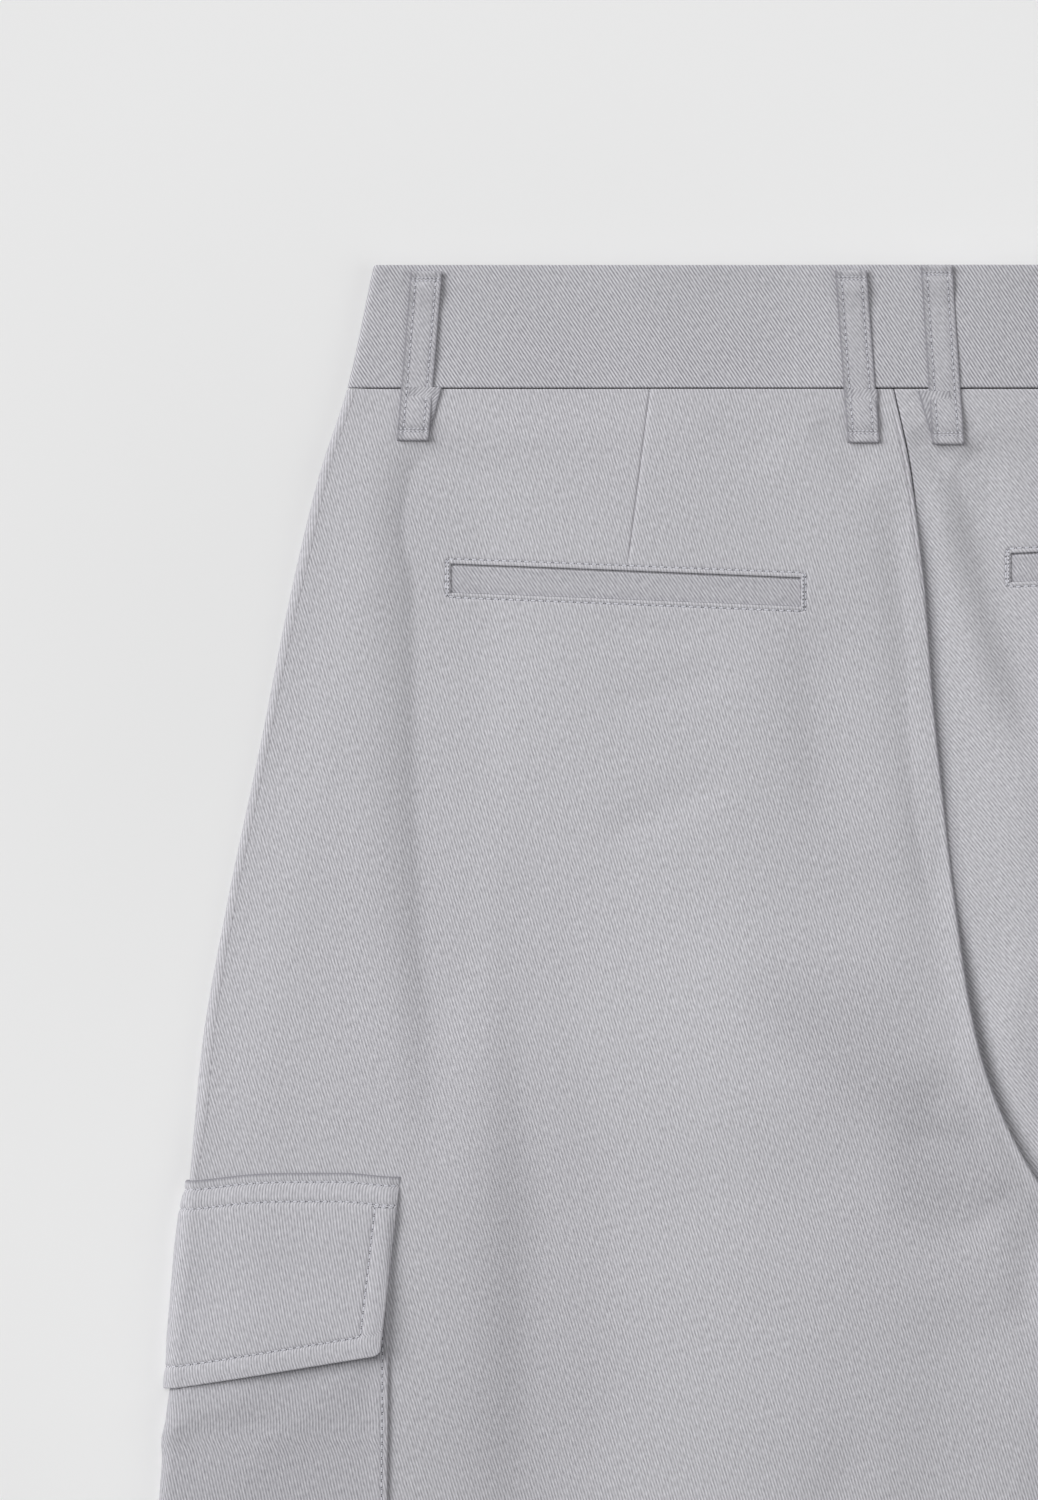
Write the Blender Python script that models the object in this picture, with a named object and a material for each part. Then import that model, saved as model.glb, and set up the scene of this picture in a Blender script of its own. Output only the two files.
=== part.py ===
"""Wide-leg cargo trousers, laid flat with the back uppermost.

Sizes are in millimetres until to_metres. A place on the garment is (across, drop): across runs to
the right of the centre line as the back is seen, drop runs down from the waist's upper edge, and
height is above the surface that the trousers lie on. Every cloth piece is a wall between two grids
of points, its skin (the face of the cloth) and its lining side.
"""

import math
from typing import NamedTuple

import bpy
import numpy as np

# ---- Driving sizes -------------------------------------------------------------------------

LENGTH = 1040.0  # outseam with the waistband
BAND_DEPTH = 41.0  # waistband
HEM_DEPTH = 25.0  # turned-up hem
CLOTH = 1.2  # wall of a panel
HEM_CLOTH = 2.0  # wall where the hem is doubled
BAND_CLOTH = 1.5  # the waistband is two plies and an interlining
LOOP_CLOTH = 0.9  # belt loops
GAP = 0.3  # between pieces

LOOP_STACK = 2 * LOOP_CLOTH + 2 * GAP  # a loop with its end turned under
WAIST_LIFT = LOOP_STACK  # the waist rests on the front belt loops
POCKET_LIFT = CLOTH + GAP  # a leg rests on its pocket's front half, and that on the flap's
CROSS_LIFT = 3.3  # the left leg where it lies on the right one
EDGE_PUFF = 1.4  # room between front and back at a pressed edge
SEAT_PUFF = 2.7  # the same beside the fold over the seat seam
PUFF_LIMITS = (0.05, 3.6)  # front and back never part by 4 mm: the cloth lies on itself

LEFT, RIGHT = -1, 1
BACK, FRONT = 1, -1


class Edge(NamedTuple):
    """A point of an outline."""

    drop: float
    across: float


# Half the width at each drop, the same on both sides.
SIDE_EDGE = (
    Edge(0, 174.5), Edge(41, 183.3), Edge(70, 192.7), Edge(112, 202.8), Edge(162, 212.8),
    Edge(212, 223.3), Edge(262, 232.0), Edge(300, 235.4), Edge(350, 239.5), Edge(410, 244.8),
    Edge(500, 251.0), Edge(650, 261.0), Edge(850, 275.0), Edge(1040, 288.0),
)
# The left back's inner edge: the fold over the seat seam, the fork, then the inseam.
LEFT_BACK_INNER = (
    Edge(41, -1.3), Edge(70, 4.7), Edge(112, 9.8), Edge(145, 12.3), Edge(178, 15.7),
    Edge(212, 19.7), Edge(245, 24.2), Edge(262, 27.8), Edge(278, 33.0), Edge(295, 40.8),
    Edge(311, 50.5), Edge(325, 60.5), Edge(338, 69.0), Edge(346, 71.5), Edge(356, 70.0),
    Edge(400, 62.0), Edge(500, 49.0), Edge(650, 29.0), Edge(850, 2.0), Edge(1040, -24.0),
)
# The left front's inner edge: centre front, the front rise, then the same inseam.
LEFT_FRONT_INNER = (
    Edge(41, -0.15), Edge(240, -0.15), Edge(252, 0.3), Edge(263, 5.0), Edge(278, 15.0),
    Edge(295, 30.0), Edge(311, 45.0), Edge(325, 58.0), Edge(338, 68.0), Edge(346, 71.5),
    Edge(356, 70.0), Edge(400, 62.0), Edge(500, 49.0), Edge(650, 29.0), Edge(850, 2.0),
    Edge(1040, -24.0),
)
# The right leg's inner edge, which lies under the left leg.
RIGHT_LEG_INNER = (
    Edge(252, 0.15), Edge(275, -3.0), Edge(300, -7.0), Edge(338, -14.0), Edge(400, -26.0),
    Edge(500, -34.0), Edge(650, -28.0), Edge(850, -2.0), Edge(1040, 24.0),
)
# The right front laps the left one at the fly, down to FLY_END.
RIGHT_FRONT_INNER = (
    Edge(41, -4.0), Edge(205, -4.0), Edge(222, 0.15), Edge(240, 0.15), *RIGHT_LEG_INNER,
)
# The right back meets the seat seam, which goes under the left back's fold from drop 75 on.
RIGHT_BACK_INNER = (
    Edge(41, -1.0), Edge(70, 5.0), Edge(80, 6.1), Edge(100, 7.0), Edge(145, 8.0),
    Edge(185, 7.5), Edge(212, 6.0), Edge(238, 3.0), *RIGHT_LEG_INNER,
)
# Left of this line less CROSS_RAMP the left leg lies on the surface, right of it on the right leg.
CROSS_LINE = (
    Edge(41, -24.0), Edge(225, -24.0), Edge(252, -2.0), Edge(275, -5.0), Edge(300, -9.0),
    Edge(338, -16.0), Edge(400, -28.0), Edge(500, -36.0), Edge(650, -30.0), Edge(850, -4.0),
    Edge(1040, 22.0),
)
CROSS_RAMP = 14.0
# The soft trough that runs down from each side belt loop: columns of the back follow it.
SIDE_TROUGH = (Edge(41, 163.0), Edge(150, 165.0), Edge(300, 163.0), Edge(500, 176.0), Edge(1040, 196.0))

ROWS = (
    41.3, 50, 60, 75, 90, 112, 135, 160, 185, 205, 225, 238, 252, 263, 278, 295, 311, 325,
    338, 346, 358, 378, 402, 430, 460, 480, 492, 515, 560, 620, 690, 760, 820, 870, 930, 985,
    1014, 1016, 1040,
)


class Fold(NamedTuple):
    """A soft trough (depth below 0) or ridge along a bent line, on one leg's back or on both."""

    legs: tuple
    start: tuple
    middle: tuple
    end: tuple
    half_width: float
    depth: float


# Across is as on the left leg, where it is below 0 left of the centre line; the right leg mirrors it.
FOLDS = (
    Fold((LEFT, RIGHT), (-163, 66), (-166, 170), (-161, 292), 7.5, -1.3),
    Fold((LEFT, RIGHT), (-182, 110), (-196, 200), (-203, 285), 14, 0.7),
    Fold((LEFT, RIGHT), (-141, 215), (-127, 310), (-128, 430), 16, -1.1),
    Fold((LEFT, RIGHT), (-100, 150), (-82, 220), (-80, 330), 40, 1.1),
    Fold((LEFT,), (-6, 86), (-3, 150), (2, 205), 8, -1.4),
    Fold((LEFT,), (-6, 290), (16, 289), (34, 303), 8, -0.9),
    Fold((LEFT,), (-38, 286), (-12, 262), (10, 262), 9, -0.6),
    Fold((LEFT,), (8, 322), (24, 312), (38, 322), 8, 0.9),
    Fold((RIGHT,), (-20, 78), (-30, 118), (-48, 178), 9, -1.6),
    Fold((RIGHT,), (-26, 150), (-38, 205), (-50, 260), 11, 0.8),
    Fold((LEFT, RIGHT), (-112, 520), (-104, 640), (-116, 780), 20, 1.1),
    Fold((LEFT, RIGHT), (-160, 540), (-152, 690), (-170, 860), 17, -0.9),
    Fold((LEFT, RIGHT), (-58, 600), (-64, 760), (-82, 960), 18, -0.9),
    Fold((LEFT, RIGHT), (-214, 640), (-222, 780), (-232, 930), 18, 0.7),
    Fold((LEFT, RIGHT), (-20, 470), (-6, 560), (-22, 680), 15, 0.7),
)


class Loop(NamedTuple):
    """A belt loop: the place of its two ends on the waist, and the face that it is sewn to."""

    name: str
    face: int
    top: Edge
    bottom: Edge


LOOP_WIDTH = 10.7
LOOPS = (
    Loop("belt_loop_back_left", BACK, Edge(1.9, -15.5), Edge(59.4, -11.2)),
    Loop("belt_loop_back_right", BACK, Edge(0.3, 13.0), Edge(60.0, 17.0)),
    Loop("belt_loop_side_left", BACK, Edge(2.2, -156.8), Edge(58.7, -161.4)),
    Loop("belt_loop_side_right", BACK, Edge(2.2, 156.8), Edge(58.7, 161.4)),
    Loop("belt_loop_front_left", FRONT, Edge(2.0, -98.0), Edge(58.7, -100.0)),
    Loop("belt_loop_front_right", FRONT, Edge(2.0, 98.0), Edge(58.7, 100.0)),
)
LOOP_TURN = 15.0  # how far the lower end is turned back up under the loop
LOOP_TOP_TURN = 8.0


class Welt(NamedTuple):
    """A back pocket's window in the back panel: its middle and its tilt in degrees."""

    side: int
    middle: Edge
    tilt: float


WELT_LENGTH, WELT_DEPTH = 116.7, 9.6
WELTS = (Welt(LEFT, Edge(106.7, -90.4), -2.3), Welt(RIGHT, Edge(98.5, 96.5), 2.3))
WELT_SLIT = 0.9  # the open upper edge of the pocket

POCKET_TOP, POCKET_BOTTOM = 312.0, 492.0  # cargo pocket
POCKET_INNER = 169.5  # its straight inner edge, from the centre line
FLAP_TOP = 303.0
FLAP_POINT = 374.5  # the flap's lower edge at the side seam
FLAP_RISE = 0.18  # how the lower edge rises for each mm away from the side seam
FLAP_TOP_INNER, FLAP_LOW_INNER = 165.3, 171.8
FLAP_LIFT = 2.4  # how far the flap's loose back corner stands up

# Linear colours of the twill on each kind of piece, by the start of its name.
CLOTH_COLOURS = {
    "back": (0.47, 0.47, 0.505), "front": (0.47, 0.47, 0.505), "waistband": (0.46, 0.46, 0.495),
    "welt": (0.455, 0.455, 0.49), "cargo": (0.455, 0.455, 0.49), "belt_loop": (0.455, 0.455, 0.485),
}
CLOTH_ROUGHNESS = 0.9

BUTTON_COLOUR, BUTTON_ROUGHNESS = (0.40, 0.40, 0.43), 0.4
BUTTON_WIDTH, BUTTON_THICK, BUTTON_HOLE = 15.0, 1.7, 1.6
BUTTON_AT = Edge(20.5, 12.0)
UNDERLAP = 30.0  # the waistband's end beyond the centre front, under the other end
OVERLAP = 4.0  # the other end and the right front's fly edge, beyond the centre front
FLY_END = 225.0


# ---- Heights ------------------------------------------------------------------------------


def smooth(low, high, x):
    """0 below low, 1 above high, and an even S between them."""
    t = np.clip((np.asarray(x, float) - low) / (high - low), 0, 1)
    return t * t * (3 - 2 * t)


def outline(table, drop):
    """The table's across at a drop, on a curve through its points that never overshoots them."""
    x = np.array([edge.drop for edge in table])
    y = np.array([edge.across for edge in table])
    slope = np.diff(y) / np.diff(x)
    flat = slope[:-1] * slope[1:] <= 0
    inner = np.where(flat, 0, 2 * slope[:-1] * slope[1:] / np.where(flat, 1, slope[:-1] + slope[1:]))
    tangent = np.concatenate([slope[:1], inner, slope[-1:]])
    at = np.clip(drop, x[0], x[-1])
    i = np.clip(np.searchsorted(x, at) - 1, 0, len(x) - 2)
    span = x[i + 1] - x[i]
    t = (at - x[i]) / span
    return (
        y[i] * (1 + 2 * t) * (1 - t) ** 2
        + y[i + 1] * t * t * (3 - 2 * t)
        + span * (tangent[i] * t * (1 - t) ** 2 - tangent[i + 1] * t * t * (1 - t))
    )


def fold_height(fold, across, drop):
    """The fold's height at points given as on the left leg, fading out at both its ends."""
    best = np.full(np.broadcast(across, drop).shape, np.inf)
    place = np.zeros_like(best)
    for part, (a, b) in enumerate(((fold.start, fold.middle), (fold.middle, fold.end))):
        run = np.subtract(b, a)
        t = ((across - a[0]) * run[0] + (drop - a[1]) * run[1]) / (run @ run)
        t = np.clip(t, 0, 1)
        away = np.hypot(across - a[0] - t * run[0], drop - a[1] - t * run[1])
        place = np.where(away < best, (part + t) / 2, place)
        best = np.minimum(best, away)
    fade = smooth(0, 0.22, place) * smooth(0, 0.22, 1 - place)
    return fold.depth * fade * np.exp(-((best / fold.half_width) ** 2))


def hem_wall(drop):
    """The cloth's thickness at a drop: one ply, or the doubled hem."""
    return np.where(np.asarray(drop) > LENGTH - HEM_DEPTH, HEM_CLOTH, CLOTH)


def pocket_rise(side, across, drop):
    """How far a leg is held up by its cargo pocket and flap, which wrap round its side."""
    inward = outline(SIDE_TROUGH, drop) - side * across
    near = 1 - smooth(9, 37, inward)
    pocket = smooth(278, 302, drop) * (1 - smooth(498, 540, drop))
    flap = smooth(278, 302, drop) * (1 - smooth(378, 412, drop))
    return POCKET_LIFT * near * (pocket + flap)


def cross_line(drop):
    """Where the left leg has reached its full height on the right one."""
    return np.minimum(outline(CROSS_LINE, drop), outline(LEFT_BACK_INNER, drop) - 24)


def front_skin(side, across, drop):
    """Height of the front panel's outer face, which is its underside as it lies."""
    height = WAIST_LIFT * (1 - smooth(64, 100, drop)) + pocket_rise(side, across, drop)
    if side == LEFT:
        line = cross_line(drop)
        crossing = smooth(225, 250, drop) * (1 - smooth(868, 910, drop))
        height = height + CROSS_LIFT * crossing * smooth(line - CROSS_RAMP, line, across)
    return height


def puff(side, across, drop):
    """The room between front and back: even at the edges, with the folds between them."""
    mirrored = -side * across
    room = 1.5 + sum(fold_height(f, mirrored, drop) for f in FOLDS if side in f.legs)
    room = np.clip(room, *PUFF_LIMITS)
    inward = outline(SIDE_EDGE, drop) - side * across
    room = EDGE_PUFF + (room - EDGE_PUFF) * smooth(3, 26, inward)
    flat_waist = 1 - smooth(44, 66, drop)
    room = room + (2.0 - room) * flat_waist * (1 - smooth(70, 110, abs(across)))
    room = room + (EDGE_PUFF - room) * flat_waist * smooth(70, 110, abs(across))
    parted = smooth(48, 74, drop)
    if side == LEFT:
        fold = outline(LEFT_BACK_INNER, drop) - across
        rise = parted * (1 - smooth(225, 262, drop)) * (1 - smooth(10, 19, fold))
        room = room + (SEAT_PUFF - room) * rise
        over = parted * (1 - smooth(232, 256, drop))
        over = over * smooth(-9, -3, across - outline(RIGHT_BACK_INNER, drop))
        room = np.maximum(room, 1.75 * over)
        inseam = (1 - smooth(4, 22, fold)) * smooth(245, 275, drop)
        return room + (EDGE_PUFF - room) * inseam
    tucked = across - outline(LEFT_BACK_INNER, drop)
    sunk = parted * (1 - smooth(3, 12, tucked)) * (1 - smooth(868, 905, drop))
    room = room + (PUFF_LIMITS[0] - room) * sunk
    inseam = (1 - smooth(3, 20, across - outline(RIGHT_LEG_INNER, drop))) * smooth(872, 930, drop)
    return room + (EDGE_PUFF - room) * inseam


def back_skin(side, across, drop):
    """Height of the back panel's outer face, the upper side as the trousers lie."""
    return front_skin(side, across, drop) + 2 * hem_wall(drop) + GAP + puff(side, across, drop)


def band_top(across):
    """Height of the waistband's upper face, which rides over its own ends at the centre."""
    over_ends = 1 - smooth(30, 52, abs(across - 13))
    return WAIST_LIFT + 2 * BAND_CLOTH + 1.1 + 1.1 * over_ends


# ---- Building walls -----------------------------------------------------------------------


def to_metres(points):
    """(across, drop, height) in millimetres as Blender's metres, centred on the garment's length."""
    across, drop, height = np.moveaxis(np.asarray(points, float), -1, 0)
    return np.stack([across, LENGTH / 2 - drop, height], axis=-1) / 1000


def finish(name, colour, roughness):
    """A plain surface."""
    material = bpy.data.materials.new(name)
    material.use_nodes = True
    shader = material.node_tree.nodes["Principled BSDF"]
    shader.inputs["Base Color"].default_value = (*colour, 1)
    shader.inputs["Roughness"].default_value = roughness
    shader.inputs["Metallic"].default_value = 0
    return material


def grid_faces(rows, columns, first, flip):
    """Quads of a grid of points numbered row by row from first."""
    faces = []
    for r in range(rows - 1):
        for c in range(columns - 1):
            a = first + r * columns + c
            quad = (a, a + columns, a + columns + 1, a + 1)
            faces.append(quad[::-1] if flip else quad)
    return faces


def rim(rows, columns):
    """The grid's border points, once round."""
    top = [c for c in range(columns)]
    right = [r * columns + columns - 1 for r in range(1, rows)]
    bottom = [(rows - 1) * columns + c for c in range(columns - 2, -1, -1)]
    left = [r * columns for r in range(rows - 2, 0, -1)]
    return top + right + bottom + left


def signed_volume(points, faces):
    """The volume that the faces enclose, below 0 if they point inwards."""
    total = 0.0
    for face in faces:
        for b, c in zip(face[1:], face[2:]):
            total += points[face[0]] @ np.cross(points[b], points[c])
    return total / 6


def wall(name, skin, lining):
    """A closed wall of cloth between two grids of (across, drop, height) points."""
    rows, columns = skin.shape[:2]
    points = to_metres(np.concatenate([skin.reshape(-1, 3), lining.reshape(-1, 3)]))
    below = rows * columns
    faces = grid_faces(rows, columns, 0, False) + grid_faces(rows, columns, below, True)
    border = rim(rows, columns)
    for a, b in zip(border, border[1:] + border[:1]):
        faces.append((a, b, below + b, below + a))
    if signed_volume(points, faces) < 0:
        faces = [face[::-1] for face in faces]
    mesh = bpy.data.meshes.new(name)
    mesh.from_pydata(points.tolist(), [], faces)
    mesh.shade_smooth()
    mesh.set_sharp_from_angle(angle=math.radians(50))
    colour = next(colour for start, colour in CLOTH_COLOURS.items() if name.startswith(start))
    mesh.materials.append(finish(name + "_twill", colour, CLOTH_ROUGHNESS))
    made = bpy.data.objects.new(name, mesh)
    bpy.context.scene.collection.objects.link(made)
    return made


# ---- Leg panels ---------------------------------------------------------------------------

ARC = (0.0, 45.0, 90.0)  # degrees round a pressed edge


class Panel(NamedTuple):
    """One of the four leg panels."""

    name: str
    side: int
    face: int
    inner: tuple  # outline of the inner edge
    inseam_from: float  # drop from which the inner edge is the inseam of a tube


PANELS = (
    Panel("back_left", LEFT, BACK, LEFT_BACK_INNER, 332),
    Panel("back_right", RIGHT, BACK, RIGHT_BACK_INNER, 252),
    Panel("front_left", LEFT, FRONT, LEFT_FRONT_INNER, 332),
    Panel("front_right", RIGHT, FRONT, RIGHT_FRONT_INNER, 252),
)


def between(low, high, count):
    """count places spread evenly between two, without them."""
    return [low + (high - low) * (i + 1) / (count + 1) for i in range(count)]


def columns_of(panel, drop, edge, inner):
    """Where a row's points lie between its two pressed edges, from the side edge inwards."""
    trough = outline(SIDE_TROUGH, drop)
    line = min(cross_line(drop), inner - 1)
    past = abs(edge) - trough  # from the side edge to the trough
    if panel.face == BACK:
        insets = [(past - 9) / 2, past - 9, past, past + 9, past + 23, past + 37]
    else:
        insets = [past / 2, past + 9, past + 23, past + 37]
    places = [edge - panel.side * inset for inset in insets]
    last = places[-1]
    if panel.name == "back_left":
        places += between(last, line - 15, 2) + [line - 15, line - 1]
        return places + [(line - 1 + inner - 14) / 2 - 1.5, inner - 14, inner - 7]
    if panel.name == "front_left":
        places += between(last, line - 15, 1) + [line - 15, line - 8, line - 1]
        return places + [max((line + inner) / 2 - 1.5, inner - 6), inner - 2]
    if panel.name == "back_right":
        tuck = max(inner + 12, outline(LEFT_BACK_INNER, drop) + 3)
        return places + between(last, tuck + 10, 2) + [tuck + 10, tuck, (tuck + inner + 4) / 2, inner + 4]
    return places + between(last, inner + 3, 2) + [inner + 3]


def heights(panel, across, drop):
    """(skin, lining) heights of the panel at a place between its pressed edges."""
    if panel.face == BACK:
        skin = back_skin(panel.side, across, drop)
    else:
        skin = front_skin(panel.side, across, drop)
    if panel.name == "front_left":  # it goes inside the right front at the fly
        inside = (CLOTH + GAP) * (1 - smooth(FLY_END, FLY_END + 18, drop))
        skin = skin + inside * smooth(-16, -8, across)
    return skin, skin - panel.face * hem_wall(drop)


def pressed_edge(panel, edge, inwards, drop):
    """(skin, lining) points round the edge where front and back meet, from the seam to the flat."""
    base = front_skin(panel.side, edge, drop)
    top = back_skin(panel.side, edge, drop)
    middle, radius = (base + top) / 2, (top - base) / 2
    ply = hem_wall(drop)
    skin, lining = [], []
    for angle in map(math.radians, ARC):
        for out, r in ((skin, radius), (lining, radius - ply)):
            rise = max(r * math.sin(angle), GAP / 2)
            across = edge + inwards * (radius - r * math.cos(angle))
            out.append((across, drop, middle + panel.face * rise))
    return np.array(skin), np.array(lining)


def cut_edge(panel, edge, inwards, drop):
    """(skin, lining) points of an edge that ends in itself: a seam, or the fold over the seat seam."""
    thick = CLOTH
    if panel.name == "back_left":
        thick += 1.0 * smooth(48, 74, drop)
    nose = thick / 2
    skin_end, _ = heights(panel, edge + inwards * nose, drop)
    middle = skin_end - panel.face * nose
    skin, lining = [], []
    for angle in map(math.radians, ARC):
        across = edge + inwards * nose * (1 - math.cos(angle))
        rise = max(nose * math.sin(angle), 0.1)
        skin.append((across, drop, middle + panel.face * rise))
        lining.append((across, drop, middle - panel.face * rise))
    return np.array(skin), np.array(lining)


def panel_row(panel, drop):
    """(skin, lining) points of one level section of a panel, from the side edge inwards."""
    edge = panel.side * outline(SIDE_EDGE, drop)
    inner = outline(panel.inner, drop)
    inwards = -panel.side
    first = pressed_edge(panel, edge, inwards, drop)
    tube = smooth(panel.inseam_from, panel.inseam_from + 14, drop)
    pressed = pressed_edge(panel, inner, -inwards, drop)
    cut = cut_edge(panel, inner, -inwards, drop)
    last = [(1 - tube) * c + tube * p for c, p in zip(cut, pressed)]
    places = np.array(columns_of(panel, drop, edge, inner))
    level = np.full_like(places, drop)
    middle = [np.stack([places, level, h], axis=-1) for h in heights(panel, places, drop)]
    return [np.concatenate([first[i], middle[i], last[i][::-1]]) for i in (0, 1)]


def leg_panel(panel):
    """A leg panel as one wall of level sections."""
    sections = [panel_row(panel, drop) for drop in ROWS]
    return wall(panel.name, np.stack([s[0] for s in sections]), np.stack([s[1] for s in sections]))


# ---- Back pockets -------------------------------------------------------------------------


def tilted(welt, along, down):
    """(across, drop) of a point given from the window's middle, along it and down it."""
    angle = math.radians(-welt.tilt)
    across = welt.middle.across + along * math.cos(angle) - down * math.sin(angle)
    return across, welt.middle.drop + along * math.sin(angle) + down * math.cos(angle)


def cut_window(panel, welt):
    """Cuts the pocket's window through the back panel."""
    across, drop = welt.middle.across, welt.middle.drop
    x, y, _ = to_metres((across, drop, 0))
    bpy.ops.mesh.primitive_cube_add(size=1, location=(x, y, 0.005))
    cutter = bpy.context.object
    cutter.name = panel.name + "_window"
    cutter.scale = (WELT_LENGTH / 1000, WELT_DEPTH / 1000, 0.03)
    cutter.rotation_euler.z = math.radians(welt.tilt)
    cutter.hide_render = True
    cutter.display_type = "WIRE"
    cut = panel.modifiers.new("window", "BOOLEAN")
    cut.object = cutter
    cut.operation = "DIFFERENCE"


def welt_strip(welt):
    """The welt that fills the window up to the slit along its upper edge."""
    half, low = WELT_LENGTH / 2 - GAP, WELT_DEPTH / 2 - GAP
    high = -WELT_DEPTH / 2 + WELT_SLIT
    skin = []
    for down in np.linspace(high, low, 3):
        row = []
        for along in np.linspace(-half, half, 10):
            across, drop = tilted(welt, along, down)
            sunk = 0.1 + 0.25 * (down == high)
            row.append((across, drop, back_skin(welt.side, across, drop) - sunk))
        skin.append(row)
    skin = np.array(skin)
    side_name = "left" if welt.side == LEFT else "right"
    return wall("welt_" + side_name, skin, skin - (0, 0, CLOTH))


# ---- Cargo pockets ------------------------------------------------------------------------


def wrapped(side, drop, away, out):
    """A point on the leg, away from its side fold (above 0 on the back), moved out from the cloth."""
    edge = outline(SIDE_EDGE, drop)
    base = front_skin(side, side * edge, drop)
    top = back_skin(side, side * edge, drop)
    middle, radius = (base + top) / 2, (top - base) / 2
    quarter = radius * math.pi / 2
    if abs(away) <= quarter:
        angle = away / radius
        inward = radius - (radius + out) * math.cos(angle)
        return side * (edge - inward), drop, middle + (radius + out) * math.sin(angle)
    across = side * (edge - radius - (abs(away) - quarter))
    if away > 0:
        return across, drop, back_skin(side, across, drop) + out
    return across, drop, front_skin(side, across, drop) - out


def wrap_places(reach):
    """Places across a piece that wraps the side fold, from its front edge to its back edge."""
    turn = [-3.2, -2.1, -1.0, 0.0, 1.0, 2.1, 3.2]
    flat = [12.0, 28.0, 44.0, reach - 12.0, reach]
    return [-x for x in flat[::-1]] + turn + flat


def pocket_bag(side):
    """The cargo pocket: a patch sewn round the side seam, open under the flap."""
    skin, lining = [], []
    for drop in (POCKET_TOP, 325, 346, 378, 402, 430, 460, 480, POCKET_BOTTOM):
        reach = outline(SIDE_EDGE, drop) - POCKET_INNER + 1.2
        places = wrap_places(reach)
        skin.append([wrapped(side, drop, p, GAP + CLOTH) for p in places])
        lining.append([wrapped(side, drop, p, GAP) for p in places])
    side_name = "left" if side == LEFT else "right"
    return wall("cargo_pocket_" + side_name, np.array(skin), np.array(lining))


def pocket_flap(side):
    """The pocket's flap: sewn along its upper edge, pointed at the side seam, loose at its corners."""
    skin, lining = [], []
    for share in (0.0, 0.14, 0.3, 0.5, 0.7, 0.87, 1.0):
        rows = [], []
        inner = FLAP_TOP_INNER + (FLAP_LOW_INNER - FLAP_TOP_INNER) * share
        level = FLAP_TOP + share * (FLAP_POINT - FLAP_TOP)
        reach = outline(SIDE_EDGE, level) - inner + 1.2
        for place in wrap_places(reach):
            low = FLAP_POINT - FLAP_RISE * abs(place)
            drop = FLAP_TOP + share * (low - FLAP_TOP)
            loose = FLAP_LIFT * smooth(0.1, 1, share) * smooth(10, reach, place)
            under = 2 * GAP + CLOTH + loose
            rows[0].append(wrapped(side, drop, place, under + CLOTH))
            rows[1].append(wrapped(side, drop, place, under))
        skin.append(rows[0])
        lining.append(rows[1])
    side_name = "left" if side == LEFT else "right"
    return wall("cargo_flap_" + side_name, np.array(skin), np.array(lining))


# ---- Waist --------------------------------------------------------------------------------


def band_path(drop):
    """(skin, lining) points round the waistband at a drop, from one end at the centre front to the other."""
    edge = outline(SIDE_EDGE, drop)
    radius = (band_top(edge) - WAIST_LIFT) / 2
    low, flat = WAIST_LIFT, edge - radius
    stations = []  # across, height and the outward direction
    for across in np.linspace(-OVERLAP, flat, 7):
        stations.append((across, low, 0, -1))
    for angle in np.radians((30, 60, 90, 120, 150)):
        out = math.sin(angle), -math.cos(angle)
        stations.append((flat + radius * out[0], low + radius + radius * out[1], *out))
    for across in (*np.linspace(flat, 66, 4), 56, 46, 36, 12, -10, -20, -30, *np.linspace(-44, -flat, 5)):
        stations.append((across, band_top(across), 0, 1))
    for angle in np.radians((150, 120, 90, 60, 30)):
        out = -math.sin(angle), -math.cos(angle)
        stations.append((-flat + radius * out[0], low + radius + radius * out[1], *out))
    for across in (*np.linspace(-flat, -16, 6), -14, -11, -8.5, -6, *np.linspace(-2, UNDERLAP, 3)):
        climb = (BAND_CLOTH + GAP) * smooth(-15, -5.5, across)
        stations.append((across, low + climb, 0, -1))
    skin = [(x, drop, z) for x, z, _, _ in stations]
    lining = [(x - BAND_CLOTH * nx, drop, z - BAND_CLOTH * nz) for x, z, nx, nz in stations]
    return np.array(skin), np.array(lining)


def waistband():
    """The waistband: one contoured strip round the waist, its ends lapped at the centre front."""
    sections = [band_path(drop) for drop in np.linspace(0, BAND_DEPTH, 4)]
    return wall("waistband", np.stack([s[0] for s in sections]), np.stack([s[1] for s in sections]))


def loop_seat(face, across, drop):
    """Height of the cloth that a belt loop lies on."""
    if face == FRONT:
        return WAIST_LIFT
    side = LEFT if across < 0 else RIGHT
    panel = back_skin(side, across, max(drop, BAND_DEPTH + GAP))
    return band_top(across) + (panel - band_top(across)) * smooth(36, 44, drop)


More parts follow.
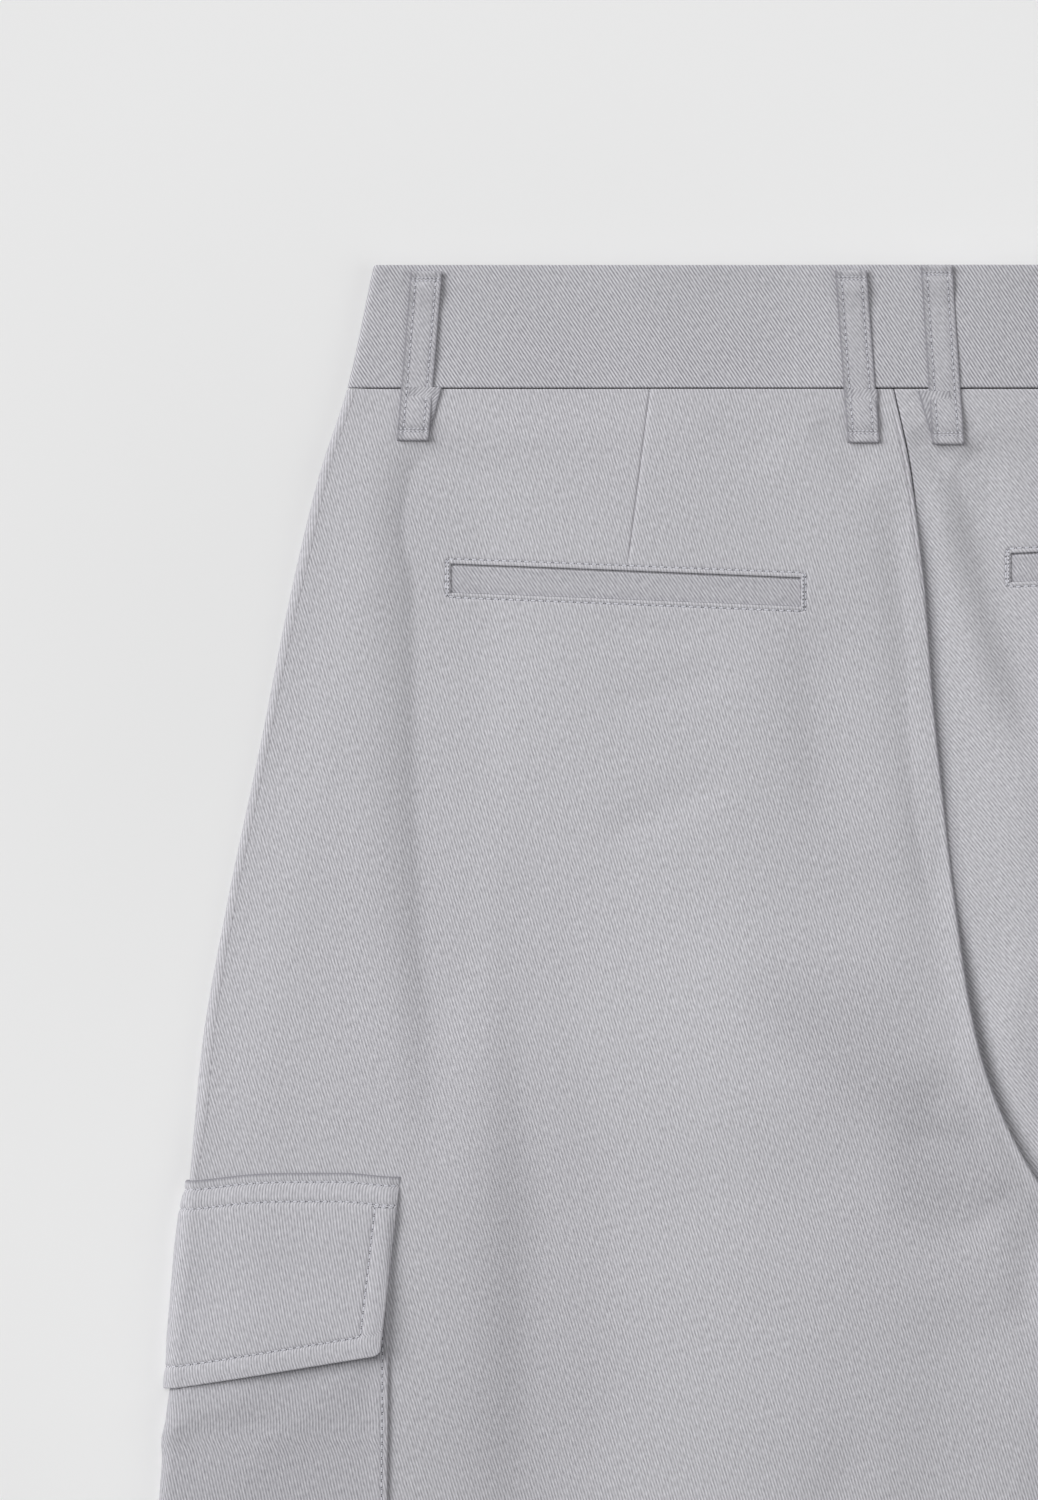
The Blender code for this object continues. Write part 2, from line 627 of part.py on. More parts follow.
def belt_loop(loop):
    """A belt loop: a folded strip with both its ends turned under."""
    turn = LOOP_STACK / 2 - GAP / 2  # radius of the skin round a turned end
    top, bottom = loop.top.drop + turn, loop.bottom.drop - turn
    path = [(top + LOOP_TOP_TURN, 0, 1), (top + 3, 0, 1), (top, 0, 1)]  # drop, angle, sense
    path += [(top, a, 1) for a in (45, 90, 135)]
    path += [(d, 180, 1) for d in np.linspace(top, bottom, 9)]
    path += [(bottom, a, -1) for a in (135, 90, 45)]
    path += [(bottom, 0, -1), (bottom - 7, 0, -1), (bottom - LOOP_TURN, 0, -1)]
    run = np.array([loop.bottom.drop - loop.top.drop, loop.bottom.across - loop.top.across])
    skin, lining = [], []
    for drop, angle, sense in path:
        share = (drop - loop.top.drop) / run[0]
        centre = loop.top.across + share * run[1]
        for out, radius in ((skin, turn), (lining, turn - LOOP_CLOTH)):
            reach = radius * math.sin(math.radians(angle))
            rise = GAP + turn - radius * math.cos(math.radians(angle))
            row = []
            for across in (centre - LOOP_WIDTH / 2, centre + LOOP_WIDTH / 2):
                seat = loop_seat(loop.face, centre, drop)
                row.append((across, drop - sense * reach, seat + loop.face * rise))
            out.append(row)
    return wall(loop.name, np.array(skin), np.array(lining))


def waist_button():
    """A sewn-through button with four holes, on the outside of the waistband at the centre front."""
    x, y, z = to_metres((BUTTON_AT.across, BUTTON_AT.drop, WAIST_LIFT - GAP - BUTTON_THICK / 2))
    bpy.ops.mesh.primitive_cylinder_add(
        vertices=32, radius=BUTTON_WIDTH / 2000, depth=BUTTON_THICK / 1000, location=(x, y, z)
    )
    button = bpy.context.object
    button.name = "waist_button"
    button.data.materials.append(finish("grey_button_resin", BUTTON_COLOUR, BUTTON_ROUGHNESS))
    edge = button.modifiers.new("rounded rim", "BEVEL")
    edge.width = 0.0004
    edge.segments = 2
    edge.limit_method = "ANGLE"
    for i in range(4):
        angle = math.radians(45 + 90 * i)
        place = (x + 0.0019 * math.cos(angle), y + 0.0019 * math.sin(angle), z)
        bpy.ops.mesh.primitive_cylinder_add(
            vertices=10, radius=BUTTON_HOLE / 2000, depth=0.004, location=place
        )
        drill = bpy.context.object
        drill.name = f"button_hole_{i}"
        drill.hide_render = True
        drill.display_type = "WIRE"
        cut = button.modifiers.new(drill.name, "BOOLEAN")
        cut.object = drill
        cut.operation = "DIFFERENCE"


def main():
    for old in list(bpy.data.objects):
        bpy.data.objects.remove(old)
    panels = {panel.name: leg_panel(panel) for panel in PANELS}
    for welt in WELTS:
        cut_window(panels["back_left" if welt.side == LEFT else "back_right"], welt)
        welt_strip(welt)
    for side in (LEFT, RIGHT):
        pocket_bag(side)
        pocket_flap(side)
    waistband()
    for loop in LOOPS:
        belt_loop(loop)
    waist_button()


main()
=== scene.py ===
"""Wide-leg cargo trousers in pale grey cotton twill, laid flat with the back uppermost.

Sizes are in millimetres until to_metres. A place on the garment is (across, drop): across runs to
the right of the centre line as the back is seen, drop runs down from the waist's upper edge, and
height is above the surface that the trousers lie on.
"""

import logging
import math
from dataclasses import dataclass, field
from enum import Enum
from typing import NamedTuple

import bpy
import numpy as np
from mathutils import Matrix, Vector


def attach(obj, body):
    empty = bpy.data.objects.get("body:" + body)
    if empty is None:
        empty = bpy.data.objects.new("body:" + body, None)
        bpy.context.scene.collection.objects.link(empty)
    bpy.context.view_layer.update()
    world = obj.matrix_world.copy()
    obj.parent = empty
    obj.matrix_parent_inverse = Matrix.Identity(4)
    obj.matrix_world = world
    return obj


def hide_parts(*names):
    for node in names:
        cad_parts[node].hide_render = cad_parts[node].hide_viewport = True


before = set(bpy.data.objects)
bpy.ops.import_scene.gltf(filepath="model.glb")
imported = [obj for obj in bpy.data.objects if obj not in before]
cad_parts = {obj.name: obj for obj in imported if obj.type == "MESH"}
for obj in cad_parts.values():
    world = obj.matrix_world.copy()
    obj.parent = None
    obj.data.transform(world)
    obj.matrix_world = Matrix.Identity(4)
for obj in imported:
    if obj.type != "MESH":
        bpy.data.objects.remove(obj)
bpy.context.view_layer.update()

LENGTH = 1040.0  # outseam with the waistband
PANEL_TOP = 41.3  # upper edge of the leg panels, under the waistband
SIDE_ON_MAP = 240.0  # where the side fold lies on the cloth map of a piece that goes round it
FLAP_POINT = 374.6  # drop of the cargo flap's point, at the side seam
FLAP_SLOPE = 0.168  # how far the flap's lower edge rises for each mm from its point
PATCH_GRAIN = -11.0  # degrees by which the cargo pocket's cloth is turned
BAND_GRAIN = 7.0  # and the cloth of the waistband and the belt loops
FLOOR_HALF = -3.0  # from this far past the side fold, a pocket or flap is pressed on the floor
SHARP_FROM = math.radians(55)  # an edge bent by more is shaded as an edge
ROOT = "root"
log = logging.getLogger("trousers")

Array = np.ndarray


class Side(Enum):
    """A side of the garment."""

    @property
    def word(self) -> str:
        """The side's name as it stands in the names of pieces."""
        return self.name.lower()


class Leg(Side):
    """A leg, by the side on which it lies as the back is seen."""

    LEFT = -1
    RIGHT = 1


class Face(Side):
    """The side of the garment that faces up or down as it lies."""

    BACK = 1
    FRONT = -1


class Edge(NamedTuple):
    """A point of an outline."""

    drop: float
    across: float


# ---- Lines and soft steps -----------------------------------------------------------------


def smooth(low: float | Array, high: float | Array, x: float | Array) -> Array:
    """0 below low, 1 above high, and an even S between them."""
    t = np.clip((np.asarray(x, float) - low) / (np.asarray(high, float) - low), 0, 1)
    return t * t * (3 - 2 * t)


def bump(x: float | Array, width: float | Array) -> Array:
    """A bell of height 1 round 0."""
    return np.exp(-((np.asarray(x, float) / width) ** 2))


def rolled(distance: float | Array, radius: float) -> Array:
    """How far a rounded cloth edge has dropped at a distance in from the edge."""
    near = np.clip(radius - np.asarray(distance, float), 0, radius)
    return radius - np.sqrt(radius**2 - near**2)


class Outline:
    """A smooth line through a few points, which never overshoots them."""

    def __init__(self, *points: tuple[float, float]) -> None:
        """Takes the points and works out the line's slope at each.

        Args:
            points: (drop, across) pairs, or any (x, y) pairs in order of x.
        """
        self.x, self.y = np.array(points, float).T
        slope = np.diff(self.y) / np.diff(self.x)
        flat = slope[:-1] * slope[1:] <= 0
        total = np.where(flat, 1, slope[:-1] + slope[1:])
        inner = np.where(flat, 0, 2 * slope[:-1] * slope[1:] / total)
        self.tangent = np.concatenate([slope[:1], inner, slope[-1:]])

    def at(self, drop: float | Array) -> Array:
        """The line's across at each drop.

        Args:
            drop: drops below the top, in mm.

        Returns:
            One across for each drop.
        """
        x, y, m = self.x, self.y, self.tangent
        at = np.clip(np.asarray(drop, float), x[0], x[-1])
        i = np.clip(np.searchsorted(x, at) - 1, 0, len(x) - 2)
        span = x[i + 1] - x[i]
        t = (at - x[i]) / span
        hold = y[i] * (1 + 2 * t) * (1 - t) ** 2 + y[i + 1] * t * t * (3 - 2 * t)
        return hold + span * (m[i] * t * (1 - t) ** 2 - m[i + 1] * t * t * (1 - t))


@dataclass(frozen=True)
class Crease:
    """A soft trough (depth below 0) or ridge along a bent line, which fades out at both ends.

    Places are as on the left leg, where across is below 0 left of the centre; the right leg
    mirrors them. left and right are the bell's half widths on the two sides of the line, looking
    from start to end.
    """

    legs: str
    start: tuple[float, float]
    middle: tuple[float, float]
    end: tuple[float, float]
    left: float
    right: float
    depth: float
    fade: float = 0.25
    bits: int = 12  # straight bits in the bent line

    def height(self, across: Array, drop: Array) -> Array:
        """The crease's height at points given as on the left leg.

        Args:
            across: places across the garment.
            drop: places down the garment.

        Returns:
            Heights to add to the cloth.
        """
        t = np.linspace(0, 1, self.bits + 1)[:, None]
        a, b, c = map(np.array, (self.start, self.middle, self.end))
        control = 2 * b - (a + c) / 2
        line = (1 - t) ** 2 * a + 2 * t * (1 - t) * control + t * t * c
        reach = 3 * max(self.left, self.right)
        low, high = line.min(axis=0) - reach, line.max(axis=0) + reach
        near = (across > low[0]) & (across < high[0]) & (drop > low[1]) & (drop < high[1])
        x, y = across[near], drop[near]
        best = np.full(x.shape, np.inf)
        place, sign = np.zeros_like(best), np.ones_like(best)
        for k, (p, q) in enumerate(zip(line, line[1:])):
            run = q - p
            s = np.clip(((x - p[0]) * run[0] + (y - p[1]) * run[1]) / (run @ run), 0, 1)
            dx, dy = x - p[0] - s * run[0], y - p[1] - s * run[1]
            away = np.hypot(dx, dy)
            closer = away < best
            best = np.where(closer, away, best)
            place = np.where(closer, (k + s) / self.bits, place)
            sign = np.where(closer, run[0] * dy - run[1] * dx, sign)
        width = np.where(sign > 0, self.right, self.left)
        fade = smooth(0, self.fade, place) * smooth(0, self.fade, 1 - place)
        found = np.zeros_like(across)
        found[near] = self.depth * fade * bump(best, width)
        return found


BOTH, LEFT_ONLY, RIGHT_ONLY = "LR", "L", "R"

# The main folds of the seat and the legs.
CREASES = (
    # below the side belt loop
    Crease(BOTH, (-156, 54), (-157, 150), (-153, 318), 36, 8, -1.2, 0.12),
    Crease(BOTH, (-156, 58), (-154.5, 150), (-151, 312), 26, 9.5, -2.8, 0.25),
    Crease(BOTH, (-155, 46), (-158, 74), (-161, 108), 16, 15, -1.6, 0.3),
    Crease(BOTH, (-175, 84), (-176, 150), (-173, 262), 6, 12, 0.5),
    # the thigh
    Crease(BOTH, (-99, 135), (-100, 300), (-104, 500), 34, 29, -2.6, 0.3),
    Crease(BOTH, (-121, 135), (-122, 300), (-126, 500), 20, 11, -1.2, 0.32),
    Crease(BOTH, (-141, 160), (-139, 300), (-144, 470), 12, 20, 0.9, 0.35),
    Crease(BOTH, (-60, 100), (-57, 190), (-62, 330), 30, 55, 1.5, 0.35),
    Crease(BOTH, (-100, 193), (-78, 183), (-52, 168), 7, 4, -0.7),
    Crease(BOTH, (-103, 121), (-84, 122), (-62, 126), 3.5, 3, -0.45),
    Crease(BOTH, (-99, 147), (-79, 143), (-50, 132), 5, 4, -0.5),
    # the seat, left of the seam
    Crease(LEFT_ONLY, (-0.5, 58), (7.5, 140), (15, 245), 5.5, 7, -2.0, 0.25),
    Crease(LEFT_ONLY, (-31, 104), (-26, 150), (-23, 204), 18, 9, -1.4, 0.35),
    Crease(LEFT_ONLY, (-28, 50), (-18, 60), (-8, 76), 9, 6, -1.2),
    Crease(LEFT_ONLY, (-64, 50), (-52, 57), (-40, 68), 12, 8, -0.8),
    Crease(LEFT_ONLY, (10, 220), (20, 267), (30, 314), 6, 32, -2.5, 0.4),
    Crease(LEFT_ONLY, (-46, 214), (-36, 262), (-26, 310), 40, 44, 2.0, 0.42),
    # the crotch
    Crease(LEFT_ONLY, (0, 292), (26, 295), (45, 318), 4, 3, -0.9, 0.2),
    Crease(LEFT_ONLY, (14, 328), (21, 317), (28, 306), 15, 8, -1.3, 0.35),
    Crease(LEFT_ONLY, (11, 245), (16.5, 252), (20, 262), 5, 5, -0.8),
    Crease(LEFT_ONLY, (9, 284), (15, 276), (22, 268), 7, 4, -0.8),
    Crease(LEFT_ONLY, (23, 325), (31, 315), (40, 308), 2.6, 2.6, -1.0, 0.2),
    Crease(LEFT_ONLY, (44, 320), (44, 336), (41, 358), 4, 6, -1.0),
    Crease(LEFT_ONLY, (22, 340), (16, 390), (4, 470), 26, 18, -1.3),
    # the seat, right of the seam
    Crease(RIGHT_ONLY, (-4.5, 54), (-11, 62), (-19, 69), 3.5, 4.5, -1.3, 0.3),
    Crease(RIGHT_ONLY, (-21, 56), (-32, 106), (-52, 174), 8, 12, -2.7, 0.2),
    Crease(RIGHT_ONLY, (-58, 44), (-60, 95), (-72, 160), 27, 30, -1.3, 0.2),
    Crease(RIGHT_ONLY, (-25, 60), (-28, 66), (-32, 74), 4, 4, -0.7),
    Crease(RIGHT_ONLY, (-12, 64), (-20, 108), (-34, 168), 6, 9, 1.6, 0.3),
    Crease(RIGHT_ONLY, (-50, 168), (-66, 210), (-78, 270), 9, 8, -0.8),
    Crease(RIGHT_ONLY, (-100, 250), (-84, 300), (-80, 350), 10, 12, -0.7),
    # the lower legs
    Crease(BOTH, (-112, 500), (-104, 640), (-116, 780), 20, 20, 1.3),
    Crease(BOTH, (-160, 520), (-152, 690), (-170, 860), 17, 13, -1.4),
    Crease(BOTH, (-58, 600), (-64, 760), (-82, 960), 18, 14, -1.3),
    Crease(BOTH, (-214, 640), (-222, 780), (-232, 930), 18, 18, 0.9),
    Crease(BOTH, (-20, 450), (-6, 560), (-22, 680), 14, 16, 0.9),
    Crease(BOTH, (-200, 500), (-180, 590), (-186, 700), 11, 9, -0.9),
    Crease(BOTH, (-96, 820), (-116, 900), (-120, 990), 14, 12, -0.8),
    Crease(BOTH, (-8, 380), (-30, 430), (-62, 480), 10, 8, -0.8),
    Crease(LEFT_ONLY, (-140, 700), (-120, 760), (-84, 800), 8, 6, -0.6),
    Crease(RIGHT_ONLY, (-150, 600), (-128, 660), (-90, 690), 7, 9, -0.6),
)


# ---- How the trousers lie -----------------------------------------------------------------


# The legs' inner outlines below the fork.
LEFT_INSEAM = (
    Edge(346, 71.5), Edge(356, 70.0), Edge(400, 62.0), Edge(500, 49.0), Edge(650, 29.0), Edge(850, 2.0),
    Edge(1040, -24.0),
)
RIGHT_INSEAM = (
    Edge(275, -3.0), Edge(300, -7.0), Edge(338, -14.0), Edge(400, -26.0), Edge(500, -34.0),
    Edge(650, -28.0), Edge(850, -2.0), Edge(1040, 24.0),
)
INSIDE_RIGHT = tuple(Edge(drop, across - 2) for drop, across in RIGHT_INSEAM)


@dataclass(frozen=True)
class Lay:
    """How the trousers lie: their outlines, and the height of each layer above the surface."""

    cloth: float = 1.2  # wall of a panel with its seam allowances
    hem_cloth: float = 2.0
    gap: float = 0.3
    hem_depth: float = 25.0
    loop_stack: float = 2.4  # a front belt loop under the waist
    pocket_lift: float = 1.5  # one ply of pocket or flap under a leg
    cross_lift: float = 3.3  # the left leg where it lies on the right one
    cross_ramp: float = 14.0
    back_ramp: float = 75.0
    edge_puff: float = 1.4
    seat_puff: float = 2.35
    room: float = 2.8
    puff_limits: tuple[float, float] = (0.05, 5.6)
    fly_end: float = 225.0
    pocket_top: float = 302.0
    flap_end: float = 378.0
    pocket_end: float = 498.0
    side: Outline = Outline(
        Edge(0, 174.5), Edge(41, 183.3), Edge(70, 192.7), Edge(112, 202.8), Edge(162, 212.8),
        Edge(212, 223.3), Edge(262, 232.0), Edge(300, 235.4), Edge(350, 239.5), Edge(410, 244.8),
        Edge(500, 251.0), Edge(650, 261.0), Edge(850, 275.0), Edge(1040, 288.0),
    )
    left_back: Outline = Outline(
        Edge(41, -1.3), Edge(70, 4.7), Edge(112, 9.8), Edge(145, 12.3), Edge(178, 15.7),
        Edge(212, 19.7), Edge(245, 24.2), Edge(262, 27.8), Edge(278, 33.0), Edge(295, 40.8),
        Edge(311, 50.5), Edge(325, 60.5), Edge(338, 69.0), *LEFT_INSEAM,
    )
    left_front: Outline = Outline(
        Edge(41, -0.15), Edge(240, -0.15), Edge(252, 0.3), Edge(263, 5.0), Edge(278, 15.0),
        Edge(295, 30.0), Edge(311, 45.0), Edge(325, 58.0), Edge(338, 68.0), *LEFT_INSEAM,
    )
    right_leg: Outline = Outline(Edge(41, 0.15), Edge(252, 0.15), *RIGHT_INSEAM)
    right_front: Outline = Outline(
        Edge(41, -4.0), Edge(205, -4.0), Edge(222, 0.15), Edge(240, 0.15), Edge(252, 0.15), *RIGHT_INSEAM
    )
    right_back: Outline = Outline(
        Edge(41, -1.0), Edge(70, 5.0), Edge(80, 6.1), Edge(100, 7.0), Edge(145, 8.0),
        Edge(185, 7.5), Edge(212, 6.0), Edge(238, 3.0), Edge(252, 0.15), *RIGHT_INSEAM,
    )
    crossing: Outline = Outline(Edge(41, -24.0), Edge(225, -24.0), Edge(252, -2.0), *INSIDE_RIGHT)
    trough: Outline = Outline(
        Edge(41, 163.0), Edge(150, 165.0), Edge(300, 163.0), Edge(500, 176.0), Edge(1040, 196.0)
    )

    def hem_wall(self, drop: float | Array) -> Array:
        """A panel's wall at a drop: one ply, or the doubled hem."""
        hem = smooth(LENGTH - self.hem_depth - 3, LENGTH - self.hem_depth + 3, drop)
        return self.cloth + (self.hem_cloth - self.cloth) * hem

    def cross_line(self, drop: float | Array) -> Array:
        """Where the left leg has reached its full height on the right one."""
        return np.minimum(self.crossing.at(drop), self.left_back.at(drop) - 24)

    def pocket_rise(self, leg: Leg, across: Array, drop: Array, soft: bool) -> Array:
        """How far a leg is held up by its cargo pocket and flap, which wrap round its side.

        Args:
            leg: which leg.
            across: distances from the middle, in mm.
            drop: drops below the top, in mm.
            soft: how wide the slope beside the pocket is.

        Returns:
            The height in mm.
        """
        far, start = (75, 205) if soft else (37, 278)
        near = 1 - smooth(0 if soft else 9, far, self.trough.at(drop) - leg.value * across)
        down = smooth(start, self.pocket_top, drop)
        pocket = down * (1 - smooth(self.pocket_end, 560 if soft else 540, drop))
        flap = down * (1 - smooth(self.flap_end, 450 if soft else 412, drop))
        return self.pocket_lift * near * (pocket + flap)

    def front(self, leg: Leg, across: Array, drop: Array, soft: bool = False) -> Array:
        """Height of the front's outer face, which is the underside as it lies.

        Args:
            leg: the leg.
            across: places across the garment.
            drop: places down the garment.
            soft: for the back, which climbs onto the other leg more gently than the front.

        Returns:
            Heights above the surface.
        """
        rise = self.pocket_rise(leg, across, drop, soft)
        height = self.loop_stack * (1 - smooth(64, 150 if soft else 100, drop)) + rise
        if leg is Leg.LEFT:
            line = self.cross_line(drop)
            start, end, ramp = (205, 278, self.back_ramp) if soft else (225, 250, self.cross_ramp)
            on = smooth(start, end, drop) * (1 - smooth(868, 910, drop))
            height = height + self.cross_lift * on * smooth(line - ramp, line, across)
        return height

    def puff(self, leg: Leg, across: Array, drop: Array) -> Array:
        """The room between front and back, with the folds and a faint unevenness of the cloth.

        Args:
            leg: which leg.
            across: distances from the middle, in mm.
            drop: drops below the top, in mm.

        Returns:
            The room in mm.
        """
        mirrored, drop = np.broadcast_arrays(-leg.value * np.asarray(across, float), np.asarray(drop, float))
        across = -leg.value * mirrored
        parted = smooth(52, 92, drop)
        past = across - self.left_back.at(drop)
        folds = self.ripple(leg, across, drop)
        for crease in CREASES:
            if leg.name[0] in crease.legs:
                folds = folds + crease.height(mirrored, drop)
        if leg is Leg.LEFT:
            rise = parted * (1 - smooth(225, 262, drop)) * (1 - smooth(7, 26, -past))
            base = self.room + (self.seat_puff + self.tucked(leg, drop, past) - self.room) * rise
        else:
            sunk = parted * (1 - smooth(868, 905, drop))
            low = self.puff_limits[0] + self.tucked(leg, drop, past)
            low = low + 0.5 * bump(drop - 208, 20)
            room = self.room - 0.5 * (1 - smooth(125, 200, drop))
            near, far = 3 - 2.5 * smooth(222, 262, drop), 30 - 18 * smooth(215, 262, drop)
            base = room + (low - room) * sunk * (1 - smooth(near, far, past))
            folds = folds * (1 - sunk * (1 - smooth(0, 7, past)))
        least = self.front(leg, across, drop) - self.front(leg, across, drop, soft=True)
        room = np.clip(base + folds, self.puff_limits[0] + least, self.puff_limits[1])
        inward = self.side.at(drop) - leg.value * across
        room = self.edge_puff + (room - self.edge_puff) * smooth(3, 26, inward)
        flat_waist = 1 - smooth(42, 60, drop)
        middle = 1 - smooth(70, 110, abs(across))
        room = room + (self.edge_puff + (2.0 - self.edge_puff) * middle - room) * flat_waist
        if leg is Leg.LEFT:
            over = parted * (1 - smooth(232, 256, drop)) * smooth(-9, -3, across - self.right_back.at(drop))
            room = np.maximum(room, (0.95 + self.tucked(leg, drop, past)) * over)
            inseam = (1 - smooth(3, 9 + 13 * smooth(310, 350, drop), -past)) * smooth(245, 275, drop)
        else:
            inseam = (1 - smooth(3, 20, across - self.right_leg.at(drop))) * smooth(872, 930, drop)
        return room + (self.edge_puff - room) * inseam

    def tucked(self, leg: Leg, drop: Array, past: Array) -> Array:
        """How far a back rises where the left one is folded over the right, by the place past the fold."""
        end = (158, 196) if leg is Leg.LEFT else (70, 118)
        return 1.1 * smooth(60, 90, drop) * (1 - smooth(*end, drop)) * smooth(-13, -2, past)

    def ripple(self, leg: Leg, across: Array, drop: Array) -> Array:
        """The faint unevenness of cloth that has been used and washed.

        Args:
            leg: which leg.
            across: distances from the middle, in mm.
            drop: drops below the top, in mm.

        Returns:
            The height in mm, above or below 0.
        """
        waves = ((0.071, 0.023, 0.5), (-0.048, 0.061, 1.9), (0.118, -0.052, 3.1), (0.031, 0.109, 4.4),
                 (0.163, 0.071, 0.2), (-0.127, 0.148, 2.6), (0.214, -0.118, 5.2))
        total = sum(
            0.004 / math.hypot(a, b) * np.sin(a * across + b * drop + c + leg.value)
            for a, b, c in waves
        )
        return total * smooth(60, 90, drop) * (1 - 0.6 * smooth(LENGTH - 60, LENGTH - 20, drop))

    def back(self, leg: Leg, across: Array, drop: Array) -> Array:
        """Height of the back's outer face, the upper side as the trousers lie."""
        under = self.front(leg, across, drop, soft=True)
        return under + 2 * self.hem_wall(drop) + self.gap + self.puff(leg, across, drop)

    def half(self, leg: Leg, across: Array, drop: Array) -> Array:
        """Half the height between a leg's two outer faces."""
        return (self.back(leg, across, drop) - self.front(leg, across, drop)) / 2

    def skin(self, face: Face, leg: Leg, across: Array, drop: Array) -> Array:
        """Height of either outer face."""
        return (self.back if face is Face.BACK else self.front)(leg, across, drop)

    def band_top(self, across: float | Array) -> Array:
        """Height of the waistband's upper face, which rides over its own ends at the centre."""
        over_ends = 1 - smooth(30, 52, abs(np.asarray(across, float) - 13))
        return self.loop_stack + 3.0 + 1.1 * (1 + over_ends)

    def wrapped(self, leg: Leg, drop: Array, away: Array, out: Array) -> Array:
        """Points on a leg round its side fold.

        Args:
            leg: the leg.
            drop: places down the garment.
            away: distances over the cloth from the side fold, above 0 on the back.
            out: distances out from the leg's cloth.

        Returns:
            (across, drop, height) points.
        """
        drop, away, out = np.broadcast_arrays(*(np.asarray(x, float) for x in (drop, away, out)))
        edge = self.side.at(drop)
        base = self.front(leg, leg.value * edge, drop)
        radius = self.half(leg, leg.value * edge, drop)
        quarter = radius * math.pi / 2
        angle = np.clip(away / radius, -math.pi / 2, math.pi / 2)
        flat = np.maximum(abs(away) - quarter, 0)
        across = leg.value * (edge - radius + (radius + out) * np.cos(angle) - flat)
        round_height = base + radius + (radius + out) * np.sin(angle)
        over = self.back(leg, across, drop) + out
        under = self.front(leg, across, drop) - out
        height = np.where(flat <= 0, round_height, np.where(away > 0, over, under))
        return np.stack([across, drop, height], axis=-1)


LAY = Lay()


# ---- Cloth meshes -------------------------------------------------------------------------


def to_metres(points: Array) -> Array:
    """(across, drop, height) in millimetres as Blender's metres, in the frame of the part."""
    across, drop, height = np.moveaxis(np.asarray(points, float), -1, 0)
    return np.stack([across, LENGTH / 2 - drop, height], axis=-1) / 1000


def spread(length: Array, start: tuple[float, ...], end: tuple[float, ...], count: int) -> Array:
    """Places along rows of different lengths: close at both ends, and even between them.

    Args:
        length: each row's length.
        start: distances from the row's start, rising from 0.
        end: distances from the row's end, rising from 0.
        count: how many places lie between the two.

    Returns:
        One row of places for each length.
    """
    length = np.atleast_1d(np.asarray(length, float))[:, None]
    first = np.broadcast_to(np.array(start, float), (len(length), len(start)))
    last = length - np.array(end[::-1], float)
    share = np.linspace(0, 1, count + 2)[None, 1:-1]
    between = first[:, -1:] * (1 - share) + last[:, :1] * share
    return np.concatenate([first, between, last], axis=1)


def link_mesh(name: str, points: Array, faces: Array, uv: Array | None = None) -> bpy.types.Object:
    """A new smooth shaded object from points in millimetres.

    Args:
        name: the object's name.
        points: (n, 3) garment points.
        faces: (m, 4) or (m, 3) indices.
        uv: a millimetre place on the cloth for each point, for its weave.

    Returns:
        The object, linked to the scene.
    """
    mesh = bpy.data.meshes.new(name)
    corners = faces.shape[1]
    mesh.vertices.add(len(points))
    mesh.vertices.foreach_set("co", to_metres(points).astype(np.float32).ravel())
    mesh.loops.add(faces.size)
    mesh.loops.foreach_set("vertex_index", faces.astype(np.int32).ravel())
    mesh.polygons.add(len(faces))
    mesh.polygons.foreach_set("loop_start", np.arange(0, faces.size, corners, dtype=np.int32))
    mesh.update(calc_edges=True)
    if uv is not None:
        layer = mesh.uv_layers.new(name="cloth")
        layer.data.foreach_set("uv", (uv[faces.ravel()] / 1000).astype(np.float32).ravel())
    mesh.shade_smooth()
    mesh.set_sharp_from_angle(angle=SHARP_FROM)
    made = bpy.data.objects.new(name, mesh)
    bpy.context.scene.collection.objects.link(made)
    return made


def grid_quads(rows: int, columns: int, first: int = 0, closed: bool = False) -> Array:
    """Quads of a grid whose points are numbered row by row, round and round if it is closed.

    Args:
        rows: how many rows of points.
        columns: how many points in a row.
        first: the first point's number.
        closed: True where each row comes round to its start.

    Returns:
        Four point numbers for each quad.
    """
    r, c = np.meshgrid(np.arange(rows - 1), np.arange(columns - (not closed)), indexing="ij")
    a, nxt = r * columns + c, r * columns + (c + 1) % columns
    return np.stack([a, a + columns, nxt + columns, nxt], axis=-1).reshape(-1, 4) + first


@dataclass
class Sheet:
    """A piece of cloth: a closed wall between two grids of points, its skin and its lining side."""

    name: str
    skin: Array  # (rows, columns, 3)
    lining: Array
    uv: Array  # (rows, columns, 2): millimetres along the cloth
    outward: float = 1.0  # -1 where the skin faces down or the grid runs to the left
    pressed: Array | None = None  # (rows, columns): painted shade, up to 1 where the colour is darkened for the shade along folds, edges and stitch rows

    def build(self) -> bpy.types.Object:
        """Builds the wall and the rim that joins its two sides.

        Returns:
            The linked piece.
        """
        rows, columns = self.skin.shape[:2]
        below = rows * columns
        quads = grid_quads(rows, columns)
        border = np.concatenate([
            np.arange(columns),
            np.arange(1, rows) * columns + columns - 1,
            (rows - 1) * columns + np.arange(columns - 2, -1, -1),
            np.arange(rows - 2, 0, -1) * columns,
        ])
        after = np.roll(border, -1)
        rim = np.stack([border, after, below + after, below + border], axis=-1)
        faces = np.concatenate([quads, quads[:, ::-1] + below, rim])
        if self.outward < 0:
            faces = faces[:, ::-1]
        points = np.concatenate([self.skin.reshape(-1, 3), self.lining.reshape(-1, 3)])
        uv = np.concatenate([self.uv.reshape(-1, 2)] * 2)
        made = link_mesh(self.name, points, faces, uv)
        # the painted shade, kept as an attribute that the finish reads
        if self.pressed is not None:
            layer = made.data.attributes.new("pressed", "FLOAT", "POINT")
            layer.data.foreach_set("value", np.tile(self.pressed.ravel(), 2).astype(np.float32))
        return made


